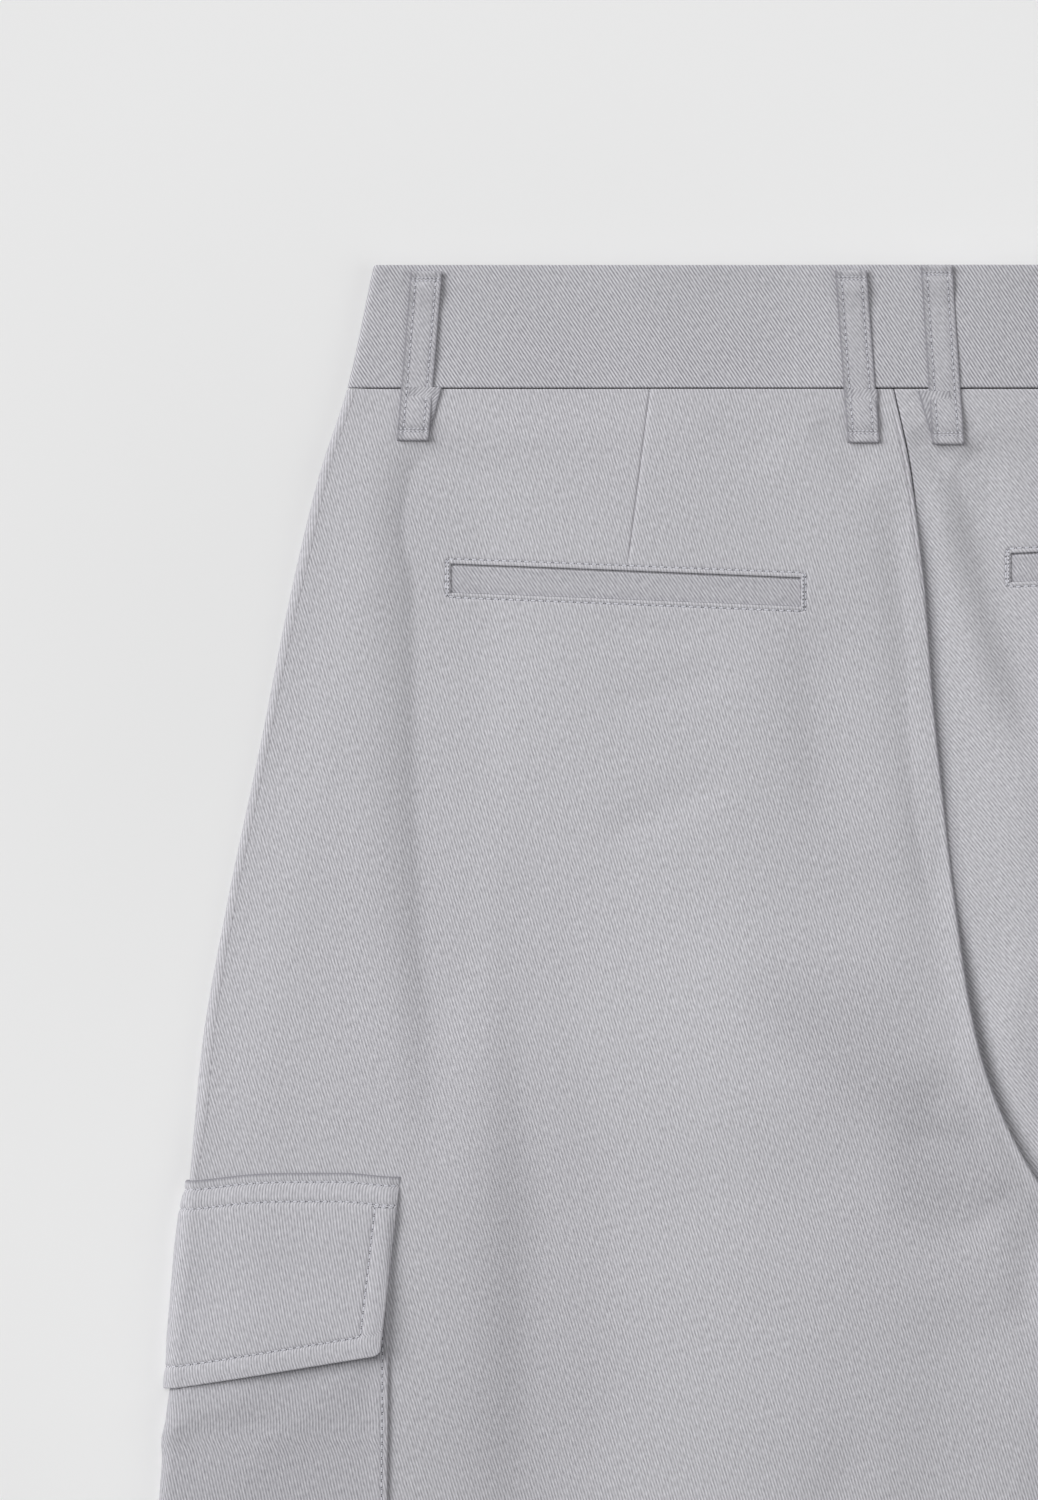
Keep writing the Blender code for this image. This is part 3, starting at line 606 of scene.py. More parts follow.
def turned_grain(uv: Array, degrees: float) -> Array:
    """Cloth places turned to the grain on which a piece was cut.

    Args:
        uv: places on the cloth, in mm.
        degrees: how far the grain is turned.

    Returns:
        The same places in the turned grain.
    """
    angle = math.radians(degrees)
    x, y = uv[..., 0], uv[..., 1]
    return np.stack(
        [x * math.cos(angle) - y * math.sin(angle), x * math.sin(angle) + y * math.cos(angle)], -1
    )


def run_length(points: Array) -> Array:
    """How far each point of a line, or of each row of a grid, lies along it."""
    step = np.linalg.norm(np.diff(points, axis=-2), axis=-1)
    return np.concatenate([np.zeros_like(step[..., :1]), np.cumsum(step, axis=-1)], axis=-1)


def wrapped_map(leg: Leg, skin: Array, drop: Array) -> Array:
    """The cloth map of a piece that goes round a side fold, true to its length on both sides of it.

    Args:
        leg: which leg.
        skin: the skin's grid of points.
        drop: the drop of each point.

    Returns:
        A pair of map coordinates for each point.
    """
    along = run_length(skin)
    from_fold = along - along[:, [along.shape[1] // 2]]
    return turned_grain(np.stack([leg.value * (SIDE_ON_MAP - from_fold), drop], -1), PATCH_GRAIN)


def dress(piece: bpy.types.Object, finish: bpy.types.Material, node: str | None = None) -> None:
    """Gives a piece its finish, its body and the CAD node that it replaces.

    Args:
        piece: the finished piece.
        finish: its material.
        node: the CAD node, or None where the piece is added to one.
    """
    piece.data.materials.append(finish)
    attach(piece, ROOT)
    if node:
        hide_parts(node)


# ---- Finishes -----------------------------------------------------------------------------


def linear(hex_colour: str) -> tuple[float, float, float, float]:
    """An sRGB hex colour as the linear RGBA that a shader takes."""
    parts = [int(hex_colour[i : i + 2], 16) / 255 for i in (1, 3, 5)]
    return (*(c / 12.92 if c <= 0.04045 else ((c + 0.055) / 1.055) ** 2.4 for c in parts), 1.0)


Tree, Socket = bpy.types.NodeTree, bpy.types.NodeSocket


def connect(tree: Tree, node: bpy.types.Node, inputs: dict) -> None:
    """Sets a node's inputs to values, or links sockets into them.

    Args:
        tree: the material's node tree.
        node: the node.
        inputs: values or output sockets by the input's name or index.
    """
    for key, value in inputs.items():
        if isinstance(value, Socket):
            tree.links.new(value, node.inputs[key])
        else:
            node.inputs[key].default_value = value


def add(tree: Tree, kind: str, inputs: dict | None = None, **settings: object) -> bpy.types.Node:
    """Adds a node with its settings, its input values and the links into it.

    Args:
        tree: the material's node tree.
        kind: the node's type name.
        inputs: values or output sockets by the input's name or index.
        settings: the node's own properties.

    Returns:
        The node.
    """
    node = tree.nodes.new(kind)
    for name, value in settings.items():
        setattr(node, name, value)
    connect(tree, node, inputs or {})
    return node


def maths(tree: Tree, operation: str, *values: float | Socket) -> Socket:
    """The result of a sum on values or sockets."""
    return add(tree, "ShaderNodeMath", dict(enumerate(values)), operation=operation).outputs["Value"]


def noise(tree: Tree, place: Socket, scale: float, detail: float, **more: float) -> Socket:
    """Soft noise at a place; more names the node's other inputs."""
    inputs = {"Vector": place, "Scale": scale, "Detail": detail, **more}
    return add(tree, "ShaderNodeTexNoise", inputs).outputs["Fac"]


def mixed(tree: Tree, share: Socket, first: object, second: object) -> Socket:
    """A mix of two colours, given as RGBA values or sockets."""
    inputs = {"Factor": share, 6: first, 7: second}  # the node's inputs 6 and 7 are its two colours
    return add(tree, "ShaderNodeMix", inputs, data_type="RGBA").outputs[2]


def new_material(name: str) -> tuple[bpy.types.Material, Tree, bpy.types.Node]:
    """An empty Principled material, its tree and its shader.

    Args:
        name: the material's name.

    Returns:
        The three of them.
    """
    material = bpy.data.materials.new(name)
    material.use_nodes = True
    return material, material.node_tree, material.node_tree.nodes["Principled BSDF"]


@dataclass(frozen=True)
class TwillFinish:
    """Pale grey cotton twill with a melange yarn, washed and pressed.

    Its diagonal ribs are woven, so they are fine, a little broken and never shiny. The yarn mixes
    lighter and darker fibres, which gives short flecks, and its brushed face has a faint sheen.
    """

    name: str
    colour: str = "#dad9de"
    fleck: str = "#96959a"
    rib_angle: float = 62.0  # degrees down from the level, falling to the right
    rib_pitch: float = 0.96  # real ribs are 0.7 mm apart, too fine for the picture
    rib_share: float = 0.6  # of the ribs in the difference between the two colours
    roughness: float = 0.92

    def material(self) -> bpy.types.Material:
        """Makes the material, which reads the piece's own cloth map.

        Returns:
            The material.
        """
        material, tree, shader = new_material(self.name)
        cloth = add(tree, "ShaderNodeUVMap", uv_map="cloth").outputs["UV"]
        turn = (0, 0, math.radians(90 - self.rib_angle))
        along = add(
            tree, "ShaderNodeMapping", {"Vector": cloth, "Rotation": turn, "Scale": (1000, 1000, 1)}
        ).outputs["Vector"]  # x across the ribs, y along them, in millimetres
        stretched = add(
            tree, "ShaderNodeVectorMath", {0: along, 1: (1.5, 0.5, 1)}, operation="MULTIPLY"
        ).outputs["Vector"]
        flecks = noise(tree, stretched, 1.0, 1.0, Roughness=0.5)
        broken = noise(tree, along, 0.5, 1.0)
        ribs = add(
            tree, "ShaderNodeTexWave",
            {"Vector": along, "Scale": 2 * math.pi / 20 / self.rib_pitch, "Distortion": 0.3,
             "Detail": 1.0, "Detail Scale": 1.4, "Detail Roughness": 0.5},
            wave_type="BANDS", bands_direction="X", wave_profile="SIN",
        ).outputs["Fac"]
        wash = noise(tree, along, 0.02, 3.0)
        centred = maths(tree, "SUBTRACT", ribs, 0.5)
        ribs_seen = add(
            tree, "ShaderNodeMapRange",
            {"Value": broken, "From Min": 0.3, "From Max": 0.7, "To Min": 0.7 * self.rib_share,
             "To Max": 1.3 * self.rib_share},
        ).outputs["Result"]
        base = add(
            tree, "ShaderNodeMapRange",
            {"Value": flecks, "From Min": 0.28, "From Max": 0.72, "To Min": 0.27, "To Max": 0.62},
        ).outputs["Result"]
        ribbed = maths(tree, "MULTIPLY_ADD", centred, ribs_seen, base)
        washed = maths(tree, "MULTIPLY_ADD", wash, 0.10, ribbed)
        # painted shade: the piece's pressed attribute darkens the colour towards the fleck tone along folds,
        # edges and stitch rows
        pressed = add(tree, "ShaderNodeAttribute", attribute_name="pressed").outputs["Fac"]
        share = maths(tree, "MULTIPLY_ADD", pressed, 0.9, washed)
        colour = mixed(tree, share, linear(self.colour), linear(self.fleck))
        weave = maths(tree, "MULTIPLY_ADD", ribs, 0.6, flecks)
        raised = add(tree, "ShaderNodeBump", {"Height": weave, "Strength": 0.5, "Distance": 0.0001})
        connect(tree, shader, {
            "Base Color": colour, "Normal": raised.outputs["Normal"], "Roughness": self.roughness,
            "Specular IOR Level": 0.25, "Sheen Weight": 0.12, "Sheen Roughness": 0.5,
            "Sheen Tint": linear("#dddde1"),
        })
        return material


@dataclass(frozen=True)
class ThreadFinish:
    """Spun polyester sewing thread in the cloth's grey.

    It is a little lighter and glossier than the twill. At both ends of a stitch it goes down
    through the cloth where the needle pierced it, and the shade there is painted as a dark dot.
    """

    name: str = "sewing_thread_polyester"
    light: str = "#dcdce2"
    shade: str = "#bcbcc4"
    # painted shade: the dark tone of a strand's ends, where it goes down into the cloth
    hole: str = "#45454d"
    hole_share: float = 0.19  # of a stitch, at each end, painted dark for the shade where the strand goes into the cloth

    def material(self) -> bpy.types.Material:
        """Makes the material, which reads the place along each stitch from the piece's map.

        Returns:
            The material.
        """
        material, tree, shader = new_material(self.name)
        cloth = add(tree, "ShaderNodeUVMap", uv_map="cloth").outputs["UV"]
        place = add(tree, "ShaderNodeSeparateXYZ", {"Vector": cloth}).outputs["X"]
        away = maths(tree, "ABSOLUTE", maths(tree, "MULTIPLY_ADD", place, 1000.0, -0.5))
        inner, outer = 0.5 - self.hole_share * 1.35, 0.5 - self.hole_share * 0.65
        end = add(
            tree, "ShaderNodeMapRange", {"Value": away, "From Min": inner, "From Max": outer},
        ).outputs["Result"]
        twist = noise(tree, add(tree, "ShaderNodeTexCoord").outputs["Object"], 1800.0, 1.0)
        yarn = mixed(tree, twist, linear(self.light), linear(self.shade))
        # painted shade: the ends of each stitch darken to the shade of the needle holes
        colour = mixed(tree, end, yarn, linear(self.hole))
        connect(tree, shader, {"Base Color": colour, "Roughness": 0.6})
        return material


@dataclass(frozen=True)
class ResinFinish:
    """Cast polyester resin, the usual trouser button: cloudy grey, with a soft polish."""

    name: str = "button_polyester_resin"
    colour: str = "#8f8f96"
    cloud: str = "#a5a5ab"

    def material(self) -> bpy.types.Material:
        """Makes the material in object coordinates.

        Returns:
            The material.
        """
        material, tree, shader = new_material(self.name)
        place = add(tree, "ShaderNodeTexCoord").outputs["Object"]
        clouds = noise(tree, place, 260.0, 4.0, Distortion=1.2)
        colour = mixed(tree, clouds, linear(self.colour), linear(self.cloud))
        connect(tree, shader, {"Base Color": colour, "Roughness": 0.35})
        return material


class Finishes:
    """All the finishes of the trousers."""

    def __init__(self) -> None:
        """Makes each material once."""
        self.body = TwillFinish("body_cotton_twill").material()
        self.band = TwillFinish("waistband_cotton_twill", "#d6d5da", "#8f8e94", rib_share=0.9).material()
        # painted shade: the patch is the body's twill, painted a little darker for the shade that it lies in
        # below the flap
        self.pocket = TwillFinish("pocket_cotton_twill", "#d5d4d9", "#908f95").material()
        self.flap = TwillFinish("pocket_flap_cotton_twill", "#dbdadf", "#96959b").material()
        # painted shade: the welt is the body's twill, painted darker for the shade of the sunk window that
        # it fills
        self.welt = TwillFinish("pocket_welt_cotton_twill", "#d2d1d6", "#8d8c92").material()
        self.loop = TwillFinish("belt_loop_cotton_twill", "#d6d5da", "#929197").material()
        self.thread = ThreadFinish().material()
        self.resin = ResinFinish().material()


# ---- Stitches -----------------------------------------------------------------------------


class StitchShape:
    """One lockstitch, modelled once: a bowed strand that dips into the cloth at both its ends."""

    def __init__(self) -> None:
        """Models the strand along X from 0 to 1, half a unit wide each way."""
        bpy.ops.object.select_all(action="DESELECT")
        bpy.ops.mesh.primitive_uv_sphere_add(segments=8, ring_count=6, radius=0.5, location=(0, 0, 0))
        strand = bpy.context.object
        bpy.ops.object.mode_set(mode="EDIT")
        bpy.ops.mesh.select_all(action="SELECT")
        bpy.ops.transform.rotate(
            value=math.pi / 2, orient_axis="Y", orient_type="GLOBAL", center_override=(0, 0, 0)
        )
        bpy.ops.mesh.quads_convert_to_tris()
        bpy.ops.mesh.normals_make_consistent(inside=False)
        bpy.ops.object.mode_set(mode="OBJECT")
        mesh = strand.data
        points = np.empty(len(mesh.vertices) * 3)
        mesh.vertices.foreach_get("co", points)
        self.points = points.reshape(-1, 3)
        # a strand is as wide near its ends as in its middle
        span = np.sqrt(np.clip(0.25 - self.points[:, 0] ** 2, 1e-6, None)) * 2
        fuller = np.where(span > 0.1, span**0.35 / span, 1)
        self.points[:, 1:] *= fuller[:, None]
        self.points[:, 0] = self.points[:, 0] + 0.5
        # Blender lists these triangles in another order each time, so they are sorted
        corners = [list(triangle.vertices) for triangle in mesh.polygons]
        turned = [c[c.index(min(c)):] + c[:c.index(min(c))] for c in corners]
        self.faces = np.array(sorted(turned))
        bpy.data.objects.remove(strand)
        bpy.data.meshes.remove(mesh)


@dataclass
class Sewing:
    """Rows of lockstitch in one joined piece."""

    name: str
    shape: StitchShape
    pitch: float = 2.5
    width: float = 0.5
    rise: float = 0.16  # of the strand's middle above the cloth
    dip: float = 0.34  # of its ends into the cloth
    flatness: float = 0.7  # the strand's height against its width
    rows: list = field(default_factory=list)

    def sew(self, points: Array, normals: Array | None = None, pitch: float | None = None,
            width: float | None = None) -> None:
        """Adds a row of stitches along a line on the cloth.

        Args:
            points: (n, 3) places on the cloth's face.
            normals: (n, 3) ways out of the cloth, or None for straight up.
            pitch: length of a stitch, if not the usual one.
            width: width of the strand, if not the usual one.
        """
        points = np.asarray(points, float)
        if normals is None:
            normals = np.broadcast_to(np.array([0.0, 0.0, 1.0]), points.shape)
        length = run_length(points)
        count = max(1, round(length[-1] / (pitch or self.pitch)))
        ends = np.linspace(0, length[-1], count + 1)
        at = np.stack([np.interp(ends, length, points[:, i]) for i in range(3)], axis=-1)
        out = np.stack([np.interp((ends[1:] + ends[:-1]) / 2, length, normals[:, i]) for i in range(3)], -1)
        out /= np.linalg.norm(out, axis=1, keepdims=True)
        run = at[1:] - at[:-1]
        side = np.cross(run, out)
        side /= np.linalg.norm(side, axis=1, keepdims=True)
        shape = self.shape.points
        x, y, z = shape[:, 0], shape[:, 1], shape[:, 2]
        thick = width or self.width
        bow = self.rise - self.dip * (2 * x - 1) ** 4
        made = (
            at[:-1, None] + run[:, None] * x[None, :, None]
            + side[:, None] * (y * thick)[None, :, None]
            + out[:, None] * (z * thick * self.flatness + bow)[None, :, None]
        )
        self.rows.append(made)

    def build(self, finish: bpy.types.Material) -> bpy.types.Object:
        """Joins all the rows into one mesh.

        Args:
            finish: the material that it gets.

        Returns:
            The linked piece.
        """
        made = np.concatenate(self.rows)
        count, each = made.shape[:2]
        faces = (self.shape.faces[None] + np.arange(count)[:, None, None] * each).reshape(-1, 3)
        uv = np.zeros((count, each, 2))
        uv[..., 0] = self.shape.points[None, :, 0]
        piece = link_mesh(self.name, made.reshape(-1, 3), faces, uv.reshape(-1, 2))
        dress(piece, finish)
        return piece


# ---- Back pockets -------------------------------------------------------------------------


@dataclass(frozen=True)
class WeltPocket:
    """A back pocket: a window in the back panel, filled by a single welt up to a slit."""

    leg: Leg
    middle: Edge
    slope: float  # how far the window drops for each mm to the right
    length: float = 116.7
    depth: float = 9.6
    slit: float = 0.6
    sunk: float = 1.5  # depth of the pocket behind the window's edges
    stitch_out: float = 1.65
    lowered: float = 0.42  # of the welt's face below the panel's
    dip_past: float = 8.0  # how far past the window's ends the panel's rows still dip
    dip_fade: tuple[float, float] = (13.0, 44.0)
    clear: float = 0.12  # between the welt and the window's ends
    tacks: tuple[float, float] = (0.75, 1.55)  # the tacks past each end
    tack_past: float = 1.4  # how far they reach above and below the window
    tack_pitch: float = 1.3
    row_places: tuple[float, ...] = (
        -14, -12.2, -10.6, -9.3, -8.4, -7.8, -7.35, -7.0, -6.7, -6.45, -6.2, -5.9, -5.6, -5.3, -5.08,
        -4.93, -4.84, -4.8, -4.73, -4.2, -2.6, 0.0, 2.6, 4.2, 4.73, 4.8, 4.84, 4.93, 5.08, 5.3, 5.6, 5.9,
        6.2, 6.45, 6.7, 7.0, 7.35, 7.8, 8.4, 9.3, 10.6, 12.2, 14,
    )
    end_places: tuple[float, ...] = (
        -1.6, -0.6, -0.07, 0.0, 0.06, 0.16, 0.34, 0.6, 0.9, 1.2, 1.45, 1.65, 1.85, 2.1, 2.5, 3.1, 4.0, 5.4,
    )

    @property
    def name(self) -> str:
        """The word left or right."""
        return self.leg.word

    @property
    def reach(self) -> float:
        """How far from the window's middle the panel's rows dip."""
        return self.length / 2 + self.dip_past

    def dip(self, drop: Array) -> Array:
        """How much of the window's tilt a row at a drop has."""
        return 1 - smooth(*self.dip_fade, abs(drop - self.middle.drop))

    def shift(self, across: Array, drop: Array) -> Array:
        """How far the panel's rows dip so that they run along the tilted window."""
        return self.slope * np.clip(across - self.middle.across, -self.reach, self.reach) * self.dip(drop)

    def local(self, across: Array, drop: Array) -> tuple[Array, Array]:
        """(along, down) from the window's middle."""
        along = across - self.middle.across
        return along, drop - self.middle.drop - self.slope * along

    def place(self, along: Array, down: Array) -> tuple[Array, Array]:
        """(across, drop) of a place given from the window's middle."""
        return self.middle.across + along, self.middle.drop + down + self.slope * along

    def outside(self, across: Array, drop: Array) -> Array:
        """Distance outside the window's edge, below 0 inside.

        Args:
            across: distances from the middle, in mm.
            drop: drops below the top, in mm.

        Returns:
            The distance in mm.
        """
        along, down = self.local(across, drop)
        x, y = abs(along) - self.length / 2, abs(down) - self.depth / 2
        return np.where((x > 0) & (y > 0), np.hypot(x, y), np.maximum(x, y))

    def relief(self, across: Array, drop: Array) -> Array:
        """What the pocket does to the height of the panel round it.

        Args:
            across: distances from the middle, in mm.
            drop: drops below the top, in mm.

        Returns:
            What is added to the panel's height, in mm.
        """
        out = self.outside(across, drop)
        groove = -0.32 * bump(out - self.stitch_out, 0.42)
        ridge = 0.14 * bump(out - 0.8, 0.5) * (out > 0)
        edge = -rolled(np.clip(out, 0, None), 0.36)
        return np.where(out < -0.03, -self.sunk, groove + ridge + edge)

    def build(self, finish: bpy.types.Material) -> bpy.types.Object:
        """The welt itself: a folded strip whose upper edge is free.

        Args:
            finish: the material that it gets.

        Returns:
            The linked piece.
        """
        half = self.length / 2 - self.clear
        low, high = self.depth / 2 - 0.1, -self.depth / 2 + self.slit
        along = spread(2 * half, (0, 0.2, 0.6, 1.4), (0, 0.2, 0.6, 1.4), 46)[0] - half
        down = spread(low - high, (0, 0.06, 0.16, 0.3, 0.5, 0.8, 1.3), (0, 0.3, 0.7, 1.4), 4)[0] + high
        a, d = np.meshgrid(along, down)
        across, drop = self.place(a, d)
        fold = 0.12 * bump(d - high - 0.8, 0.7)
        slack = 0.10 * np.sin(a * 0.11 + 0.6) * np.sin((d - high) * 0.33)
        ends = -0.22 * (1 - smooth(0, 5, half - abs(a)))
        tuck = -0.35 * smooth(low - 1.6, low, d)
        height = LAY.back(self.leg, across, drop) - self.lowered + fold + slack + ends + tuck
        turned = rolled(d - high, 0.38)
        thick = np.maximum(0.8 - 2 * turned, 0.05)
        skin = np.stack([across, drop, height - turned], -1)
        lining = np.stack([across, drop, height - turned - thick], -1)
        uv = turned_grain(np.stack([across, drop], -1), 6)
        piece = Sheet(f"back_pocket_welt_{self.name}", skin, lining, uv).build()
        dress(piece, finish, f"welt_{self.name}")
        f"trouser_back_{self.name}"
        return piece

    def sewn(self, sewing: Sewing) -> None:
        """Stitches round the window, and the bartacks at its ends.

        Args:
            sewing: the rows that the stitches are added to.
        """
        x, y, out = self.length / 2, self.depth / 2, self.stitch_out
        line = []
        corners = ((x, -y, -90), (x, y, 0), (-x, y, 90), (-x, -y, 180))
        for cx, cy, start in corners:
            for angle in np.radians(np.linspace(start, start + 90, 6)):
                line.append((cx + out * math.cos(angle), cy + out * math.sin(angle)))
        line.append(line[0])
        self._stitch(sewing, line)
        for side in (-1, 1):
            for extra in self.tacks:
                end, reach = side * (x + extra), y + self.tack_past
                self._stitch(sewing, [(end, -reach), (end, reach)], self.tack_pitch)

    def _stitch(self, sewing: Sewing, line: list[tuple[float, float]], pitch: float | None = None) -> None:
        """Sews a row along a line given from the window's middle.

        Args:
            sewing: the rows that the stitches are added to.
            line: points across and down from the window's middle.
            pitch: a stitch's length, if not the usual one.
        """
        along, down = dense(np.array(line, float), 0.6).T
        across, drop = self.place(along, down)
        height = LAY.back(self.leg, across, drop) + self.relief(across, drop)
        sewing.sew(np.stack([across, drop, height], -1), pitch=pitch)


def dense(line: Array, step: float) -> Array:
    """The same bent line with points no further apart than a step.

    Args:
        line: its points, across and drop.
        step: the longest distance between two points.

    Returns:
        The new points.
    """
    parts = []
    for a, b in zip(line, line[1:]):
        count = max(1, math.ceil(np.linalg.norm(b - a) / step))
        parts.append(a + (b - a) * np.arange(count)[:, None] / count)
    return np.concatenate([*parts, line[-1:]])


WELTS = {
    Leg.LEFT: WeltPocket(Leg.LEFT, Edge(106.7, -90.4), 0.0402),
    Leg.RIGHT: WeltPocket(Leg.RIGHT, Edge(98.5, 96.5), -0.0402),
}


# ---- Leg panels ---------------------------------------------------------------------------


@dataclass(frozen=True)
class Dart:
    """A sewn dart, which shows as a thin sunk line from the waist seam to its point."""

    top: Edge
    point: Edge
    depth: float = 0.45
    half_width: float = 0.55
    steeper: float = 0.55  # the left side's width against the right one's
    columns: tuple[float, ...] = (-1.2, -0.7, -0.4, -0.2, -0.08, 0.0, 0.1, 0.25, 0.45, 0.75, 1.2)

    def line(self, drop: Array) -> Array:
        """The dart's across at a drop, and its point's further down."""
        share = np.clip((drop - self.top.drop) / (self.point.drop - self.top.drop), 0, 1)
        return self.top.across + share * (self.point.across - self.top.across)

    def relief(self, across: Array, drop: Array) -> Array:
        """The sunk line, fading at the dart's point.

        Args:
            across: distances from the middle, in mm.
            drop: drops below the top, in mm.

        Returns:
            What is added to the panel's height, in mm.
        """
        share = (drop - self.top.drop) / (self.point.drop - self.top.drop)
        fade = 1 - smooth(0.85, 1.05, share)
        away = across - self.line(drop)
        width = self.half_width * np.where(away < 0, self.steeper, 1)
        return -self.depth * fade * bump(away, width)


DARTS = {
    Leg.LEFT: Dart(Edge(41, -82.3), Edge(101.5, -89.9)),
    Leg.RIGHT: Dart(Edge(41, 86.0), Edge(93, 96.0)),
}


@dataclass
class LegPanel:
    """One of the four leg panels, a pressed sheet of twill that the seams shape."""

    leg: Leg
    face: Face
    cloth: float = 0.75
    hem_cloth: float = 1.5
    seam_past: float = 0.95  # of the side seam, past the side fold's round on the back
    seam_roll: float = 0.07
    waist_roll: float = 0.75
    hem_roll: float = 0.7
    fold_nose: float = 1.1  # half the thickness of the fold over the seat seam
    cut_nose: float = 0.55
    hem_row: float = 22.0  # hem stitches above the lower edge
    grain: float = 11.0  # degrees by which each leg's grain leans out
    top: float = PANEL_TOP

    @property
    def name(self) -> str:
        """The piece's name."""
        return f"trouser_{self.face.word}_{self.leg.word}"

    @property
    def inner(self) -> Outline:
        """The panel's inner outline.

        Returns:
            The outline.
        """
        if self.face is Face.BACK:
            return LAY.left_back if self.leg is Leg.LEFT else LAY.right_back
        return LAY.left_front if self.leg is Leg.LEFT else LAY.right_front

    @property
    def tube_from(self) -> float:
        """The drop from which the inner edge is the inseam of a tube."""
        return 332.0 if self.leg is Leg.LEFT else 252.0

    def levels(self) -> Array:
        """The drops of the panel's rows.

        Returns:
            The drops, from the waist to the hem.
        """
        start = self.top + np.array([0, 0.08, 0.2, 0.4, 0.7, 1.1, 1.8, 2.9, 4.4])
        hem = LENGTH - self.hem_row + np.array([-4, -2.2, -1.2, -0.6, -0.25, 0, 0.25, 0.6, 1.2, 2.4])
        end = LENGTH - np.array([8, 4.5, 2.4, 1.2, 0.6, 0.25, 0.08, 0])
        if self.face is Face.FRONT:
            middle = np.arange(start[-1] + 5, hem[0] - 3, 6.5)
            return np.concatenate([start, middle, hem, [(hem[-1] + end[0]) / 2], end])
        window = WELTS[self.leg].middle.drop + np.array(WeltPocket.row_places)
        upper = np.arange(start[-1] + 1.7, window[0] - 1.2, 1.9)
        lower = np.arange(window[-1] + 2.2, 430, 2.7)
        legs = np.arange(lower[-1] + 6, hem[0] - 4, 9)
        return np.concatenate([start, upper, window, lower, legs, hem, [(hem[-1] + end[0]) / 2], end])

    def side_radius(self, drop: Array) -> Array:
        """Radius of the side fold."""
        return LAY.half(self.leg, self.leg.value * LAY.side.at(drop), drop)

    def seam_in(self, drop: Array) -> Array:
        """How far the side seam lies in from the side fold, on the back."""
        return self.side_radius(drop) + self.seam_past

    def back_columns(self, drop: Array) -> tuple[Array, Array]:
        """(across, drop) of the back's grid, from the side seam to the inner edge.

        Args:
            drop: drops below the top, in mm.

        Returns:
            Two grids, each with a row for each drop.
        """
        welt, sign = WELTS[self.leg], -self.leg.value
        dips = welt.slope * welt.reach * welt.dip(drop)
        side_drop, inner_drop = drop + self.leg.value * dips, drop - self.leg.value * dips
        first = -(LAY.side.at(side_drop) - self.seam_in(side_drop))
        last = sign * self.inner.at(inner_drop)
        ends = np.array(welt.end_places)
        window = sign * welt.middle.across
        lower = smooth(150, 420, drop)
        outer = window - welt.length / 2
        outer = outer + (first * 0.62 + last * 0.38 - outer) * lower
        inward = window + welt.length / 2
        inward = inward + (first * 0.3 + last * 0.7 - inward) * lower
        grow = 1 + 2.4 * lower
        before = outer[:, None] - ends[::-1][None] * grow[:, None]
        after = inward[:, None] + ends[None] * grow[:, None]
        start = spread(before[:, 0] - first, (0, 0.07, 0.18, 0.35, 0.7, 1.3, 2.4, 4.2), (2.2,), 28)
        dart = sign * DARTS[self.leg].line(drop)
        dart = dart + ((before[:, -1] + after[:, 0]) / 2 - dart) * lower
        dart = dart[:, None] + np.array(DARTS[self.leg].columns)[None] * (1 + 5 * lower[:, None])
        left_of_dart = spread(dart[:, 0] - before[:, -1], (2.2,), (1.2,), 13)
        right_of_dart = spread(after[:, 0] - dart[:, -1], (1.2,), (2.2,), 13)
        inner_end = (0, 0.06, 0.18, 0.36, 0.6, 0.85, 1.1, 1.3, 1.5, 1.7, 1.95, 2.3, 2.9, 3.9, 5.4, 7.6)
        finish = spread(last - after[:, -1], (2.0,), inner_end, 34)
        places = np.concatenate([
            start + first[:, None], before, left_of_dart + before[:, -1:], dart,
            right_of_dart + dart[:, -1:], after, finish + after[:, -1:],
        ], axis=1)
        across = sign * places
        level = np.broadcast_to(drop[:, None], across.shape)
        return across, level + welt.shift(across, level)

    def edge(self, away: Array, drop: Array, radius: Array) -> tuple[Array, Array]:
        """How a panel's inner edge turns over.

        Args:
            away: distances in from the edge.
            drop: places down the garment.
            radius: half the tube's height at the inseam.

        Returns:
            How far the skin drops, and the wall's thickness.
        """
        tube = smooth(self.tube_from, self.tube_from + 14, drop)
        parted = smooth(48, 74, drop)
        nose = np.full(drop.shape, self.cut_nose)
        if self.leg is Leg.LEFT and self.face is Face.BACK:
            nose = nose + (self.fold_nose - self.cut_nose) * parted
        ply = np.where(drop > LENGTH - LAY.hem_depth, self.hem_cloth, self.cloth)
        turn = nose + (radius - nose) * tube
        inside = np.clip(turn - away, 0, turn)
        falls = turn - np.sqrt(np.clip(turn**2 - inside**2, 0, None))
        cut = np.where(
            away < nose,
            2 * (nose - np.clip(falls, 0, nose)),
            ply + (2 * nose - ply) * (1 - smooth(nose, nose + 2.6, away)),
        )
        hollow = np.sqrt(np.clip((radius - ply) ** 2 - np.clip(radius - away, 0, None) ** 2, 0, None))
        pressed = (radius - falls) - np.maximum(hollow, 0.08)
        return falls, np.maximum(cut + (pressed - cut) * tube, 0.05)

